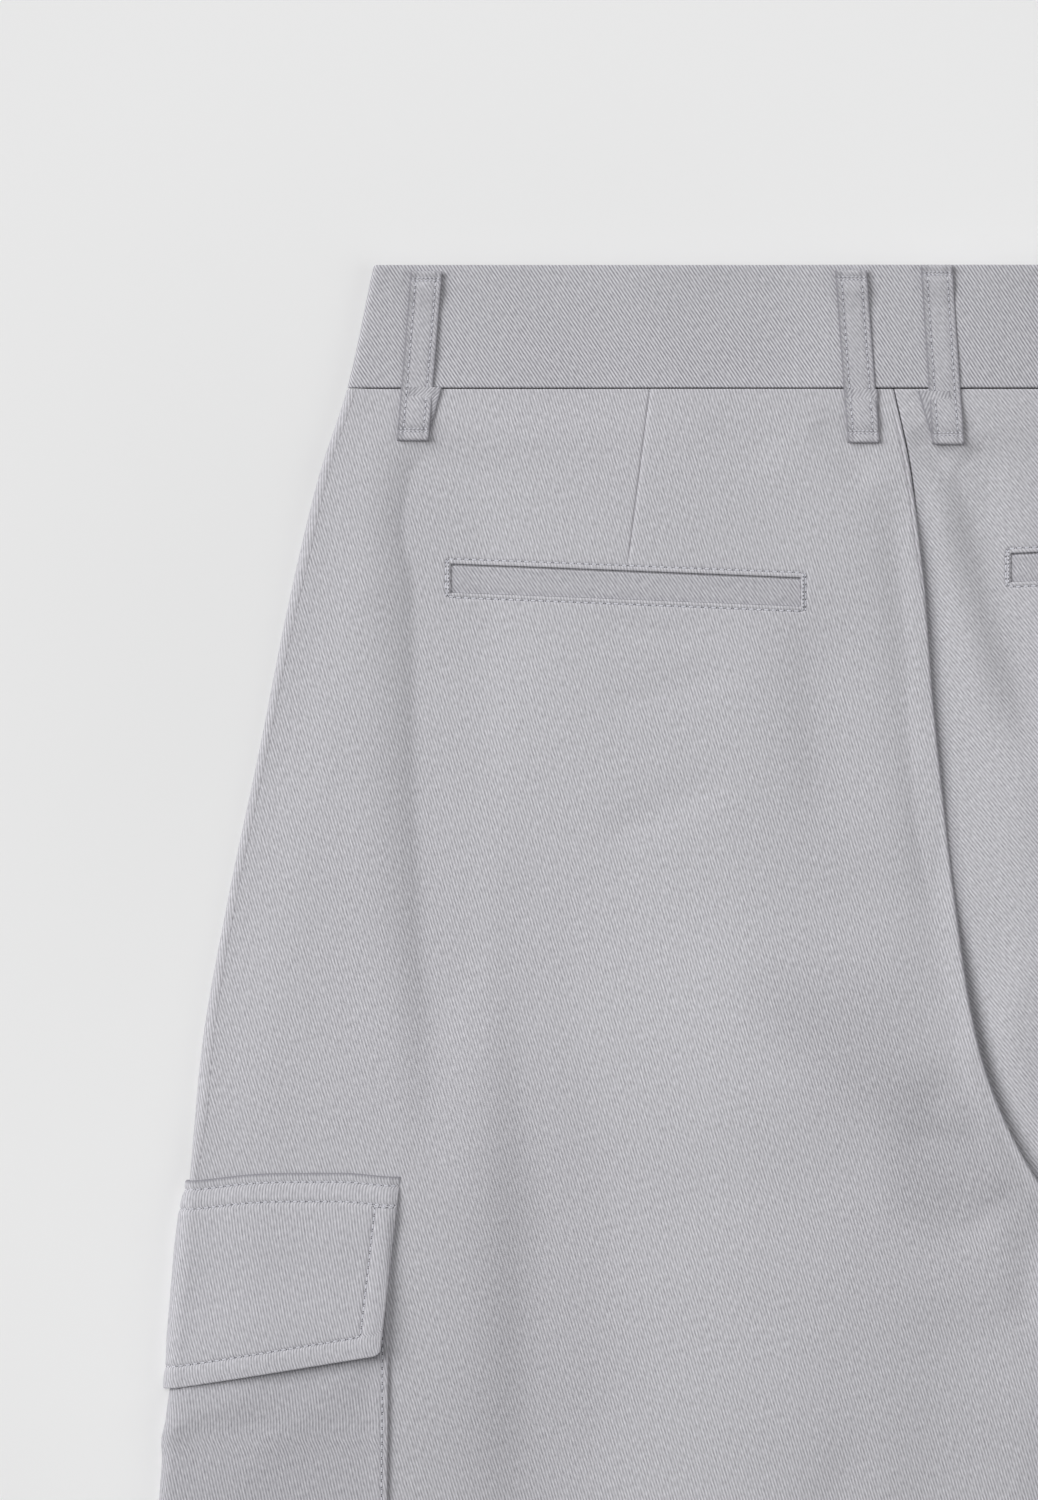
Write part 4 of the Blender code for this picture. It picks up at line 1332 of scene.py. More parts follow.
    def back_sheet(self) -> Sheet:
        """The back panel, with its pocket window, dart and seams.

        Returns:
            The sheet, still without its material.
        """
        across, drop = self.back_columns(self.levels())
        inner = self.inner.at(drop)
        height = LAY.back(self.leg, across, drop)
        away = abs(across - inner)
        falls, thick = self.edge(away, drop, LAY.half(self.leg, inner, drop))
        seam = LAY.side.at(drop[:, :1]) - self.seam_in(drop[:, :1]) - self.leg.value * across
        height = height - falls - rolled(np.clip(seam, 0, None), self.seam_roll)
        height = height + WELTS[self.leg].relief(across, drop) + DARTS[self.leg].relief(across, drop)
        height = height - self.waist_and_hem(drop)
        if self.leg is Leg.LEFT:
            seat_seam = 1.55 - 1.3 * smooth(88, 122, drop)
            fade = smooth(46, 54, drop) * (1 - smooth(104, 124, drop))
            height = height - 0.42 * fade * bump(away - seat_seam, 0.3)
        thick = np.minimum(thick, self.hem_thickness(drop, thick))
        skin = np.stack([across, drop, height], -1)
        lining = np.stack([across, drop, height - thick], -1)
        uv = turned_grain(np.stack([across, drop], -1), self.leg.value * self.grain)
        # the last argument is the back's painted shade
        return Sheet(self.name, skin, lining, uv, -self.leg.value, self.rubbed(across, drop))

    def rubbed(self, across: Array, drop: Array) -> Array:
        """Painted shade on the back: along the fold over the seat seam, as the fold's shadow on the right
        back beside it, and in soft patches on the seat and by the fork where folds lie in shade.

        Args:
            across: distances from the middle, in mm.
            drop: drops below the top, in mm.

        Returns:
            A share from 0 to 1 for each point.
        """
        past = across - LAY.left_back.at(drop)
        along = smooth(62, 96, drop) * (1 - smooth(262, 300, drop))
        if self.leg is Leg.RIGHT:
            # painted shadow of the left back's fold, cast on the right back beside it
            return 0.3 * along * bump(past - 0.8, 2.6)
        beside = 0.691 * (across + 54) - 0.723 * (drop - 247)  # up and right of the lower edge of the seat patch that is painted darker for shade
        down = 0.723 * (across + 54) + 0.691 * (drop - 247)  # along that edge
        # painted shade in soft patches on the seat and by the fork, where their folds lie in shade
        patch = smooth(-7, 12, beside) * (1 - smooth(14, 46, beside)) * smooth(-18, 20, down)
        patch = patch * (1 - smooth(270, 294, drop))
        fork = smooth(-10, 3, across) * smooth(264, 290, drop) * (1 - smooth(308, 332, drop))
        painted_seat_shade = (0.085 * patch + 0.14 * fork) * smooth(3, 10, -past)
        # painted shade along the fold's edge, with the patches
        return 0.7 * along * bump(past, 0.9) + painted_seat_shade

    def waist_and_hem(self, drop: Array) -> Array:
        """How far the face is lowered at the waist seam, the hem stitches and the hem's fold.

        Args:
            drop: drops below the top, in mm.

        Returns:
            The depth in mm.
        """
        waist = rolled(np.clip(drop - self.top, 0, None), self.waist_roll)
        stitches = 0.3 * bump(drop - (LENGTH - self.hem_row), 0.55)
        return waist + stitches + rolled(np.clip(LENGTH - drop, 0, None), self.hem_roll)

    def hem_thickness(self, drop: Array, thick: Array) -> Array:
        """The wall's thickness, which runs out at the waist seam and round the hem's fold.

        Args:
            drop: drops below the top, in mm.
            thick: the wall's thickness before that.

        Returns:
            The thickness in mm.
        """
        waist = 0.1 + 1.4 * self.cloth * smooth(0, 0.7, drop - self.top)
        hem = 0.1 + self.hem_cloth * smooth(-0.1, 0.75, LENGTH - drop)
        return np.minimum(np.minimum(thick, waist), np.where(drop > LENGTH - 40, hem, 9))

    def front_sheet(self) -> Sheet:
        """The front panel, which comes round the side fold up to the side seam on the back.

        Returns:
            The sheet, still without its material.
        """
        level = self.levels()
        radius = self.side_radius(level)
        quarter = radius * math.pi / 2
        seam = quarter + self.seam_past
        reach = LAY.side.at(level) - radius + quarter - self.leg.value * self.inner.at(level)
        lip = np.array([0.03, 0.07, 0.15, 0.4, 0.9])
        turn = np.linspace(1, -1, 13)
        flat = np.array([1.2, 3.2, 6.5])
        start = np.concatenate([
            seam[:, None] - lip[None], quarter[:, None] * turn[None], -quarter[:, None] - flat[None],
        ], axis=1)
        inner_end = (0, 0.06, 0.18, 0.36, 0.6, 0.85, 1.1, 1.5, 2.0, 2.8, 4.2, 6.5)
        run = spread(reach + start[:, -1], (4.2,), inner_end, 46)
        away = np.concatenate([start, start[:, -1:] - run], axis=1)
        drop = np.broadcast_to(level[:, None], away.shape)
        inner = self.inner.at(drop)
        over = rolled(np.clip(seam[:, None] - 0.03 - away, 0, None), self.seam_roll)
        sunk = self.waist_and_hem(drop) + over
        ply = np.where(drop > LENGTH - LAY.hem_depth, self.hem_cloth, self.cloth)
        ply = self.hem_thickness(drop, ply)
        skin = LAY.wrapped(self.leg, drop, away, -sunk)
        lining = LAY.wrapped(self.leg, drop, away, -sunk - ply)
        across = skin[..., 0]
        from_edge = np.where(away < 0, abs(across - inner), 99.0)
        lift, thick = self.edge(from_edge, drop, LAY.half(self.leg, inner, drop))
        if self.leg is Leg.LEFT:  # it goes inside the right front at the fly
            lift = lift + 1.5 * (1 - smooth(LAY.fly_end, LAY.fly_end + 18, drop)) * smooth(-16, -8, across)
        skin[..., 2] += lift
        edge_part = (away < 0) & (from_edge < 9)
        thin = np.minimum(thick, self.hem_thickness(drop, thick))
        lining[..., 2] = np.where(edge_part, skin[..., 2] + thin, lining[..., 2] + lift)
        uv = np.stack([self.leg.value * (SIDE_ON_MAP - away), drop], -1)
        uv = turned_grain(uv, self.leg.value * self.grain)
        return Sheet(self.name, skin, lining, uv, self.leg.value)

    def build(self, finish: bpy.types.Material) -> bpy.types.Object:
        """Builds the panel.

        Args:
            finish: the material that it gets.

        Returns:
            The linked piece.
        """
        sheet = self.back_sheet() if self.face is Face.BACK else self.front_sheet()
        piece = sheet.build()
        dress(piece, finish, f"{self.face.word}_{self.leg.word}")
        under = [] if self.face is Face.FRONT else [f"trouser_front_{self.leg.word}"]
        return piece

    def hem(self, sewing: Sewing) -> None:
        """The row of stitches that holds the hem.

        Args:
            sewing: the rows that the stitches are added to.
        """
        level = LENGTH - self.hem_row
        side, inner = LAY.side.at(level), self.leg.value * self.inner.at(level)
        across = self.leg.value * np.linspace(side - 3.4, inner + 1.2, 160)
        drop = np.full(across.shape, level)
        height = LAY.skin(self.face, self.leg, across, drop) - self.face.value * 0.3
        normals = np.zeros((len(across), 3)) + (0, 0, self.face.value)
        sewing.sew(np.stack([across, drop, height], -1), normals)


# ---- Waist --------------------------------------------------------------------------------


def level_run(across: Array, height: float | Array, way: float) -> Array:
    """(across, height, 0, way) rows of a level part of the band, whose outside faces up or down.

    Args:
        across: distances from the middle, in mm.
        height: its height, or each point's.
        way: 1 for up and -1 for down.

    Returns:
        One row for each point.
    """
    rows = np.zeros((len(across), 4)) + (0, 0, 0, way)
    rows[:, 0], rows[:, 1] = across, height
    return rows


@dataclass
class Waistband:
    """The contoured waistband: one strip round the waist with its ends lapped at the centre front."""

    depth: float = 41.0
    wall: float = 1.5
    overlap: float = 4.0
    underlap: float = 30.0
    edge_roll: float = 0.7
    lap_shift: float = 1.8

    def level_path(self, drop: float) -> tuple[Array, Array]:
        """Skin and lining points round the band at a drop, before its edges are rolled.

        Args:
            drop: one drop below the top, in mm.

        Returns:
            Both rows of points.
        """
        low = LAY.loop_stack
        edge = LAY.side.at(drop)
        radius = (LAY.band_top(edge) - low) / 2
        flat = edge - radius
        start = [-self.overlap, -self.overlap + 0.15, -self.overlap + 0.5]
        over = np.concatenate([start, np.linspace(-self.overlap + 1.6, flat, 46)])
        arc = np.radians(np.linspace(15, 165, 11))
        sine, cosine = np.sin(arc), np.cos(arc)
        right = np.stack([flat + radius * sine, low + radius - radius * cosine, sine, -cosine], -1)
        back = np.linspace(flat, -flat, 150)
        under = np.concatenate([
            np.linspace(-flat, -18, 44), np.linspace(-16.5, -3, 12),
            np.linspace(0, self.underlap - 0.5, 10), [self.underlap - 0.15, self.underlap],
        ])
        at = np.concatenate([  # across, height, and the way out as across and height
            level_run(over, low, -1), right, level_run(back, LAY.band_top(back), 1),
            right[::-1] * (-1, 1, -1, 1),
            level_run(under, low + self.lap_shift * smooth(-15, -5.5, under), -1),
        ])
        skin = np.stack([at[:, 0], np.full(len(at), drop), at[:, 1]], -1)
        lining = skin - self.wall * np.stack([at[:, 2], np.zeros(len(at)), at[:, 3]], -1)
        return skin, lining

    def build(self, finish: bpy.types.Material) -> bpy.types.Object:
        """Builds the band, with a folded upper edge and a sewn lower one.

        Args:
            finish: the material that it gets.

        Returns:
            The linked piece.
        """
        close = (0, 0.06, 0.16, 0.32, 0.55, 0.8)
        level = spread(self.depth, (*close, 1.3, 2.4), (*close, 1.4, 2.6), 12)[0]
        skins, linings, maps = [], [], []
        for drop in level:
            skin, lining = self.level_path(drop)
            ply = (lining - skin) / self.wall
            turn = float(rolled(min(drop, self.depth - drop), self.edge_roll))
            skins.append(skin + ply * turn)
            linings.append(lining - ply * turn)
            along = run_length(skin)
            maps.append(np.stack([-(along - along[len(along) // 2]), np.full(len(along), drop)], -1))
        skin, lining, uv = np.stack(skins), np.stack(linings), np.stack(maps)
        across, drop = skin[..., 0], skin[..., 1]
        up = (skin[..., 2] > LAY.loop_stack + 2.6) & (skin[..., 2] > lining[..., 2])
        for sheet in (skin, lining):
            sheet[..., 2] += np.where(up, self.wave(across, drop), 0)
        piece = Sheet("waistband_cloth", skin, lining, turned_grain(uv, BAND_GRAIN), -1.0).build()
        dress(piece, finish, "waistband")
        return piece

    def wave(self, across: Array, drop: Array) -> Array:
        """The band's faint unevenness, which dies out at its edges.

        Args:
            across: distances from the middle, in mm.
            drop: drops below the top, in mm.

        Returns:
            The height in mm, above or below 0.
        """
        inside = smooth(0, 8, drop) * (1 - smooth(self.depth - 8, self.depth, drop))
        wave = 0.3 * np.sin(across * 0.052 + 0.8) + 0.28 * np.sin(across * 0.117 - drop * 0.09)
        return wave * inside


@dataclass(frozen=True)
class BeltLoop:
    """A belt loop: a folded strap with two rows of stitches, tacked down at both its ends."""

    name: str
    face: Face
    top: Edge
    bottom: Edge
    tail: float = 1.2  # how far the turned-under end shows at the side
    width: float = 10.7
    ply: float = 0.65
    turn: float = 0.88
    top_under: float = 8.0
    bottom_under: float = 17.0
    row_in: float = 2.0
    top_tack: float = 2.9
    bottom_tack: float = 3.4
    row_stitch: tuple[float, float] = (2.3, 0.44)  # a stitch's length and width
    tack_stitch: tuple[float, float] = (1.5, 0.4)

    def seat(self, across: Array, drop: Array) -> Array:
        """Height of the cloth that the loop lies on.

        Args:
            across: distances from the middle, in mm.
            drop: drops below the top, in mm.

        Returns:
            The height in mm.
        """
        if self.face is Face.FRONT:
            return np.full(np.broadcast(across, drop).shape, LAY.loop_stack)
        leg = Leg.LEFT if self.top.across < 0 else Leg.RIGHT
        band = LAY.band_top(across)
        panel = LAY.back(leg, across, np.maximum(drop, PANEL_TOP))
        return band + (panel - band) * smooth(36, 44, drop)

    def path(self) -> list[tuple[float, float, float]]:
        """(drop, angle, sense) along the strap from its upper hidden end to its lower one.

        Returns:
            One entry for each row of the strap.
        """
        top, bottom = self.top.drop + self.turn, self.bottom.drop - self.turn
        around = np.linspace(0, 180, 9)
        first, last = (0, 0.6, 1.2, 1.7, 2.2, 2.8, 3.6), (0, 0.6, 1.3, 1.9, 2.4, 3.0, 3.8)
        face = spread(bottom - top, first, last, 26)[0]
        steps = [(top + d, 0.0, 1.0) for d in np.linspace(self.top_under, 1, 5)]
        steps += [(top, a, 1.0) for a in around[:-1]]
        steps += [(top + d, 180.0, 1.0) for d in face]
        steps += [(bottom, a, -1.0) for a in around[-2::-1]]
        return steps + [(bottom - d, 0.0, -1.0) for d in np.linspace(1, self.bottom_under, 10)]

    def places(self) -> Array:
        """Places across the strap."""
        close = (0, 0.07, 0.2, 0.4, 0.8, 1.4, 1.75, 2.0, 2.3, 2.8)
        return spread(self.width, close, close, 3)[0] - self.width / 2

    def point(self, drop: Array, angle: Array, sense: Array, side: Array, inside: Array) -> Array:
        """A point of the strap.

        Args:
            drop: the place's drop before it goes round a turned end.
            angle: degrees round the turned end, 180 on the face.
            sense: 1 at the upper end and on the face, -1 at the lower end.
            side: place across the strap.
            inside: 0 on the skin, 1 on the strap's lining side.

        Returns:
            (across, drop, height) points.
        """
        from_edge = self.width / 2 - abs(side)
        edge = rolled(np.clip(from_edge, 0, None), self.ply / 2)
        sewn = 0.2 * bump(from_edge - self.row_in, 0.5) * (angle > 170)
        radius = self.turn - edge - sewn
        radius = radius + (self.turn - self.ply + edge - 0.5 * sewn - radius) * inside
        reach = radius * np.sin(np.radians(angle))
        rise = 0.3 + self.turn - radius * np.cos(np.radians(angle))
        share = (drop - self.top.drop) / (self.bottom.drop - self.top.drop)
        middle = self.top.across + share * (self.bottom.across - self.top.across)
        lower = (sense < 0) * (angle < 90) * np.clip(self.bottom.drop - drop - 2, 0, None)
        centre = middle + self.tail * lower / (self.bottom_under - 3)
        tack = bump(drop - self.top.drop - self.top_tack, 1.3)
        tack = np.maximum(tack, bump(self.bottom.drop - self.bottom_tack - drop, 1.3))
        slack = smooth(4, 14, drop - self.top.drop) * smooth(5, 17, self.bottom.drop - drop)
        over = (angle > 90) * (0.65 * tack + 1.2 * slack)
        drop_at = drop - sense * reach
        seat = self.seat(middle, drop_at)
        return np.stack([centre + side, drop_at, seat + self.face.value * (rise - over)], -1)

    def build(self, finish: bpy.types.Material) -> bpy.types.Object:
        """Builds the strap.

        Args:
            finish: the material that it gets.

        Returns:
            The linked piece.
        """
        steps = np.array(self.path())
        drop, angle, sense = (steps[:, i][:, None] for i in range(3))
        side = self.places()[None]
        drop, angle, sense, side = np.broadcast_arrays(drop, angle, sense, side)
        skin = self.point(drop, angle, sense, side, 0.0)
        lining = self.point(drop, angle, sense, side, 1.0)
        along = run_length(skin[:, side.shape[1] // 2 - 1])[:, None] + np.zeros(side.shape)
        uv = np.stack([side + self.top.across, along], -1)
        from_edge = self.width / 2 - abs(side)
        # painted shade: darker along the strap's folded edges and its stitch rows, for the shade beside them
        pressed = bump(from_edge, 0.6) + 0.3 * bump(from_edge - self.row_in, 0.5)
        uv = turned_grain(uv, BAND_GRAIN)
        piece = Sheet(f"{self.name}_strap", skin, lining, uv, self.face.value, pressed).build()
        dress(piece, finish, self.name)
        return piece

    def sewn(self, sewing: Sewing) -> None:
        """The two rows along the strap, and two level tacks at each end.

        Args:
            sewing: the rows that the stitches are added to.
        """
        half = self.width / 2 - self.row_in
        top, bottom = self.top.drop, self.bottom.drop
        lines = [((side, top + 3.4), (side, bottom - 4.2)) for side in (-half, half)]
        wide = self.width / 2 - 0.5
        for level in (top + 2.4, top + 3.3, bottom - 3.9, bottom - 3.0):
            lines.append(((-wide, level), (wide, level)))
        for start, end in lines:
            line = dense(np.array([start, end], float), 0.5)
            full = np.ones(len(line))
            points = self.point(line[:, 1], 180 * full, full, line[:, 0], 0 * full)
            normals = np.zeros((len(line), 3)) + (0, 0, self.face.value)
            sewing.sew(points, normals, *(self.tack_stitch if start[1] == end[1] else self.row_stitch))


LOOPS = (
    BeltLoop("belt_loop_back_left", Face.BACK, Edge(1.9, -15.5), Edge(59.4, -11.2), 0.6),
    BeltLoop("belt_loop_back_right", Face.BACK, Edge(0.3, 13.0), Edge(60.0, 17.0), -3.2),
    BeltLoop("belt_loop_side_left", Face.BACK, Edge(2.2, -156.8), Edge(58.7, -161.4), 2.6),
    BeltLoop("belt_loop_side_right", Face.BACK, Edge(2.2, 156.8), Edge(58.7, 161.4), -2.2),
    BeltLoop("belt_loop_front_left", Face.FRONT, Edge(2.0, -98.0), Edge(58.7, -100.0), 0.8),
    BeltLoop("belt_loop_front_right", Face.FRONT, Edge(2.0, 98.0), Edge(58.7, 100.0), -0.8),
)


# ---- Cargo pockets ------------------------------------------------------------------------


@dataclass(frozen=True)
class CargoPocket:
    """The cargo pocket's patch, sewn round the side seam below its flap."""

    leg: Leg
    top: float = 312.0
    bottom: float = 492.0
    inner: float = 169.5  # of its straight edges, from the centre line
    ply: float = 0.75
    turned_edge: float = 1.3
    turned_to: float = 2.4  # how far in from the edge its cloth is doubled
    single_from: float = 7.0
    stitch_in: float = 2.0
    edge_round: float = 0.6

    def reach(self, drop: Array) -> Array:
        """The patch's half width over the cloth, from the side fold."""
        return LAY.side.at(drop) - self.inner + 1.2

    def from_edge(self, place: Array, drop: Array) -> Array:
        """Distance in from the patch's nearest edge."""
        return np.minimum(np.minimum(self.reach(drop) - abs(place), drop - self.top), self.bottom - drop)

    def out(self, place: Array, drop: Array) -> Array:
        """How far the patch's face stands out from the leg.

        Args:
            place: places over the cloth, measured from the side fold.
            drop: drops below the top, in mm.

        Returns:
            The distance in mm.
        """
        edge = self.from_edge(place, drop)
        doubled = LAY.gap + self.turned_edge
        seam = doubled - rolled(np.clip(edge, 0, None), self.edge_round)
        groove = 0.26 * bump(edge - self.stitch_in, 0.5)
        single = smooth(self.turned_to, self.single_from, edge)
        body = doubled + (self.ply + 0.1 - self.turned_edge) * single
        folds = self.folds(place, drop) * smooth(3, 14, edge)
        out = np.where(edge < self.turned_to, seam - groove, body - groove + folds)
        return np.where(place < FLOOR_HALF, np.minimum(out, doubled - 0.12), out)

    def folds(self, place: Array, drop: Array) -> Array:
        """The soft folds that come out from under the flap.

        Args:
            place: places over the cloth, measured from the side fold.
            drop: drops below the top, in mm.

        Returns:
            What they add to that distance, in mm.
        """
        back = abs(place)
        ridge = 0.9 * bump(drop - 381 + 0.11 * (back - 8) - 10 * np.exp(-back / 7), 4.2)
        ridge = ridge * (1 - smooth(16, 46, back))
        dip = -0.4 * bump(drop - 374 + 0.1 * back, 5) * (1 - smooth(34, 60, back))
        slant = 0.55 * bump((drop - 392) - 0.9 * (36 - back), 9) * smooth(22, 34, back)
        hang = 0.5 * bump(drop - 440 - 0.3 * back, 26) * smooth(4, 20, back)
        full = 0.6 * smooth(0, 5, back) * (1 - smooth(6, 60, back)) * smooth(360, 384, drop)
        below = drop - FLAP_POINT + FLAP_SLOPE * back  # from the flap's lower edge
        shelf = 1.3 * smooth(-14, -6, below) * (1 - smooth(-4, 16, below))
        shelf = shelf * smooth(1, 6, back) * (1 - 0.7 * smooth(10, 60, back))
        return ridge + dip + slant + hang + shelf + full * (1 - smooth(420, 480, drop))

    def point(self, place: Array, drop: Array, inside: float = 0.0) -> Array:
        """Points of the patch's skin, or of its lining side.

        Args:
            place: places over the cloth, measured from the side fold.
            drop: drops below the top, in mm.
            inside: 1 for the lining side, 0 for the skin.

        Returns:
            A grid of points.
        """
        edge = self.from_edge(place, drop)
        doubled = 1 - smooth(self.turned_to, self.single_from, edge)
        thick = self.ply + (self.turned_edge - self.ply) * doubled
        thick = np.maximum(thick - 1.7 * rolled(np.clip(edge, 0, None), self.edge_round), 0.1)
        return LAY.wrapped(self.leg, drop, place, self.out(place, drop) - inside * thick)

    def build(self, finish: bpy.types.Material) -> bpy.types.Object:
        """Builds the patch.

        Args:
            finish: the material that it gets.

        Returns:
            The linked piece.
        """
        edge = (0, 0.07, 0.2, 0.4, 0.7, 1.1, 1.5, 1.8, 2.05, 2.35, 2.8, 3.6, 4.8, 6.4)
        drop = spread(self.bottom - self.top, edge[:6:2] + (1.5, 3.5), edge, 62)[0] + self.top
        place = round_side(self.reach(drop), edge, 20)
        level = np.broadcast_to(drop[:, None], place.shape)
        skin, lining = self.point(place, level), self.point(place, level, 1.0)
        uv, name = wrapped_map(self.leg, skin, level), self.leg.word
        piece = Sheet(f"cargo_pocket_patch_{name}", skin, lining, uv, -self.leg.value).build()
        dress(piece, finish, f"cargo_pocket_{name}")
        return piece

    def sewn(self, sewing: Sewing) -> None:
        """The edge stitches down both sides and along the lower edge.

        Args:
            sewing: the rows that the stitches are added to.
        """
        low = self.bottom - self.stitch_in
        side = [(self.reach(np.array(d)) - self.stitch_in, d) for d in np.linspace(self.top + 3, low, 40)]
        line = [(-x, d) for x, d in side] + [(x, d) for x, d in side[::-1]]
        place, drop = dense(np.array(line, float), 0.8).T
        sew_round(sewing, self.leg, place, drop, self.out(place, drop))


def round_side(reach: Array, edge: tuple[float, ...], count: int) -> Array:
    """Places over the cloth on both sides of a side fold, mirrored, close at the fold and the ends.

    Args:
        reach: each row's half width.
        edge: distances from its ends, rising from 0.
        count: how many places lie between on each side.

    Returns:
        One row of places for each half width.
    """
    half = spread(reach, (0, 0.6, 1.2, 1.8, 2.4, 3.0, 3.6, 5), edge, count)
    return np.concatenate([-half[:, :0:-1], half], axis=1)


def sew_round(sewing: Sewing, leg: Leg, place: Array, drop: Array, out: Array) -> None:
    """Sews a row on a piece that wraps a leg's side fold."""
    points = LAY.wrapped(leg, drop, place, out)
    sewing.sew(points, LAY.wrapped(leg, drop, place, out + 1) - points)


@dataclass(frozen=True)
class CargoFlap:
    """The pocket's flap: sewn along its upper edge, pointed at the side seam, loose at its corners."""

    leg: Leg
    top: float = 302.4
    end_drop: float = 360.0  # of the end's lower corner
    top_inner: float = 165.3
    low_inner: float = 171.8
    corner: float = 2.4
    ply: float = 1.1
    edge_round: float = 0.55
    loose: float = 1.3
    floor_out: float = 2.88  # the farthest that its front half stands out
    first_row: float = 3.1
    second_row: float = 9.5
    edge_row: float = 7.3

    def upper(self, place: Array) -> Array:
        """The upper edge, which bows up in the middle of the flap's back half."""
        back = abs(place)
        return self.top + 2.7 * bump(back, 17) + 1.3 * smooth(52, 70, back)

    def reach(self, drop: Array) -> Array:
        """The flap's half width at a drop.

        Args:
            drop: drops below the top, in mm.

        Returns:
            The half width in mm.
        """
        share = (drop - self.top) / (self.end_drop - self.top)
        inner = self.top_inner + (self.low_inner - self.top_inner) * share
        return LAY.side.at(drop) - inner + 1.2

    def lower(self, place: Array) -> Array:
        """The lower edge, with its rounded corners.

        Args:
            place: places over the cloth, measured from the side fold.

        Returns:
            The drop of the lower edge.
        """
        back = abs(place)
        end = self.reach(self.end_drop)
        t = np.clip((back - end + self.corner) / self.corner, 0, 1)
        return FLAP_POINT - FLAP_SLOPE * back - self.corner * (1 - np.sqrt(1 - t * t))

    def from_edges(self, place: Array, drop: Array) -> tuple[Array, Array, Array]:
        """Distances from the upper edge, the lower edge and the nearer end."""
        return drop - self.upper(place), self.lower(place) - drop, self.reach(drop) - abs(place)

    def out(self, place: Array, drop: Array) -> Array:
        """How far the flap's face stands out from the leg.

        Args:
            place: places over the cloth, measured from the side fold.
            drop: drops below the top, in mm.

        Returns:
            The distance in mm.
        """
        share = np.clip((drop - self.top) / (FLAP_POINT - self.top), 0, 1)
        from_top, from_low, from_end = self.from_edges(place, drop)
        edge = np.clip(np.minimum(np.minimum(from_top, from_low), from_end), 0, None)
        base = 1.45 + 1.5 * smooth(2, 13, from_top) + 1.0 * smooth(30, 68, from_top) * smooth(2, 12, place)
        rows = bump(from_top - self.first_row, 0.5) + bump(from_top - self.second_row, 0.5)
        within = np.minimum(from_low, from_end)
        rows = rows + bump(within - self.edge_row, 0.5) * smooth(9, 11, from_top)
        hinge = 0.28 * bump(from_top - 6.3, 2.6)
        puffed = 0.45 * smooth(1, 12, within - self.edge_row) * smooth(11, 24, from_top)
        ridge = 0.25 * bump(within - 3.4, 2.2) * smooth(9, 14, from_top)
        stand = self.loose * smooth(0.3, 1, share) * smooth(18, 62, place)
        stand = stand + 0.5 * bump(place - 66, 7) * smooth(0.25, 0.6, share)
        sag = 0.5 * bump(place - 30, 18) * smooth(0.5, 0.9, share)
        beyond = 3.6 * (1 - share / 0.62) + 0.3  # the flap's end reaches past the patch below it
        droop = -0.9 * (1 - smooth(0, np.maximum(beyond, 0.3), from_end)) * (1 - smooth(0.3, 0.6, share))
        out = base + droop - 0.42 * rows + hinge + puffed + ridge + stand + sag
        out = out - rolled(edge, self.edge_round)
        return np.where(place < FLOOR_HALF, np.minimum(out, self.floor_out), out)

    def thickness(self, place: Array, drop: Array) -> Array:
        """The flap's two plies, which run out round its edge."""
        edge = np.min(self.from_edges(place, drop), axis=0)
        return np.maximum(self.ply - 2 * rolled(np.clip(edge, 0, None), self.edge_round), 0.06)

    def build(self, finish: bpy.types.Material) -> bpy.types.Object:
        """Builds the flap.

        Args:
            finish: the material that it gets.

        Returns:
            The linked piece.
        """
        close = (0, 0.06, 0.17, 0.34, 0.6)
        edge = (*close, 1.0, 1.8, 3.0, 4.6, 6.0, 6.7, 7.05, 7.3, 7.55, 7.9, 8.6, 10.2)
        sewn = (*close, 1.2, 2.2, 2.7, 3.1, 3.5, 4.1, 5.6, 7.4, 8.7, 9.15, 9.5, 9.85, 10.5, 12)
        none, whole = spread([0, 1], sewn, edge, 18)
        end = self.reach(self.end_drop)
        upper, lower = self.upper(end), self.lower(end)
        end_drop = upper + none + (whole - none) * (lower - upper)
        place = round_side(self.reach(end_drop), edge, 18)
        upper, lower = self.upper(place), self.lower(place)
        drop = upper + none[:, None] + (whole - none)[:, None] * (lower - upper)
        out = self.out(place, drop)
        skin = LAY.wrapped(self.leg, drop, place, out)
        lining = LAY.wrapped(self.leg, drop, place, out - self.thickness(place, drop))
        uv, name = wrapped_map(self.leg, skin, drop), self.leg.word
        # painted shade: a thin dark line along the upper edge, for the shade where the flap meets the leg
        pressed = bump(drop - upper, 0.6)
        piece = Sheet(f"cargo_pocket_flap_{name}", skin, lining, uv, -self.leg.value, pressed).build()
        dress(piece, finish, f"cargo_flap_{name}")
        return piece

    def sewn(self, sewing: Sewing) -> None:
        """The two rows under the upper edge and the row inside the free edges.

        Args:
            sewing: the rows that the stitches are added to.
        """
        end = self.reach(self.top + 5) - 0.8
        across = np.linspace(-end, end, 200)
        for level in (self.first_row, self.second_row):
            drop = self.upper(across) + level
            sew_round(sewing, self.leg, across, drop, self.out(across, drop))
        for side in (-1, 1):
            tack = side * np.linspace(end - 7.5, end - 0.4, 20)
            drop = self.upper(tack) + self.second_row + 0.75
            sew_round(sewing, self.leg, tack, drop, self.out(tack, drop))
        drop = np.linspace(self.top + self.second_row + 2, self.end_drop, 60)
        place = self.reach(drop) - self.edge_row
        down = drop < self.lower(place) - self.edge_row
        side = np.stack([place[down], drop[down]], -1)
        low = np.linspace(-side[-1, 0], side[-1, 0], 90)
        row = np.stack([low, self.lower(low) - self.edge_row], -1)
        line = np.concatenate([side * (-1, 1), row[1:-1], side[::-1]])
        place, drop = dense(line, 0.8).T
        sew_round(sewing, self.leg, place, drop, self.out(place, drop))


# ---- The whole garment and its studio -----------------------------------------------------


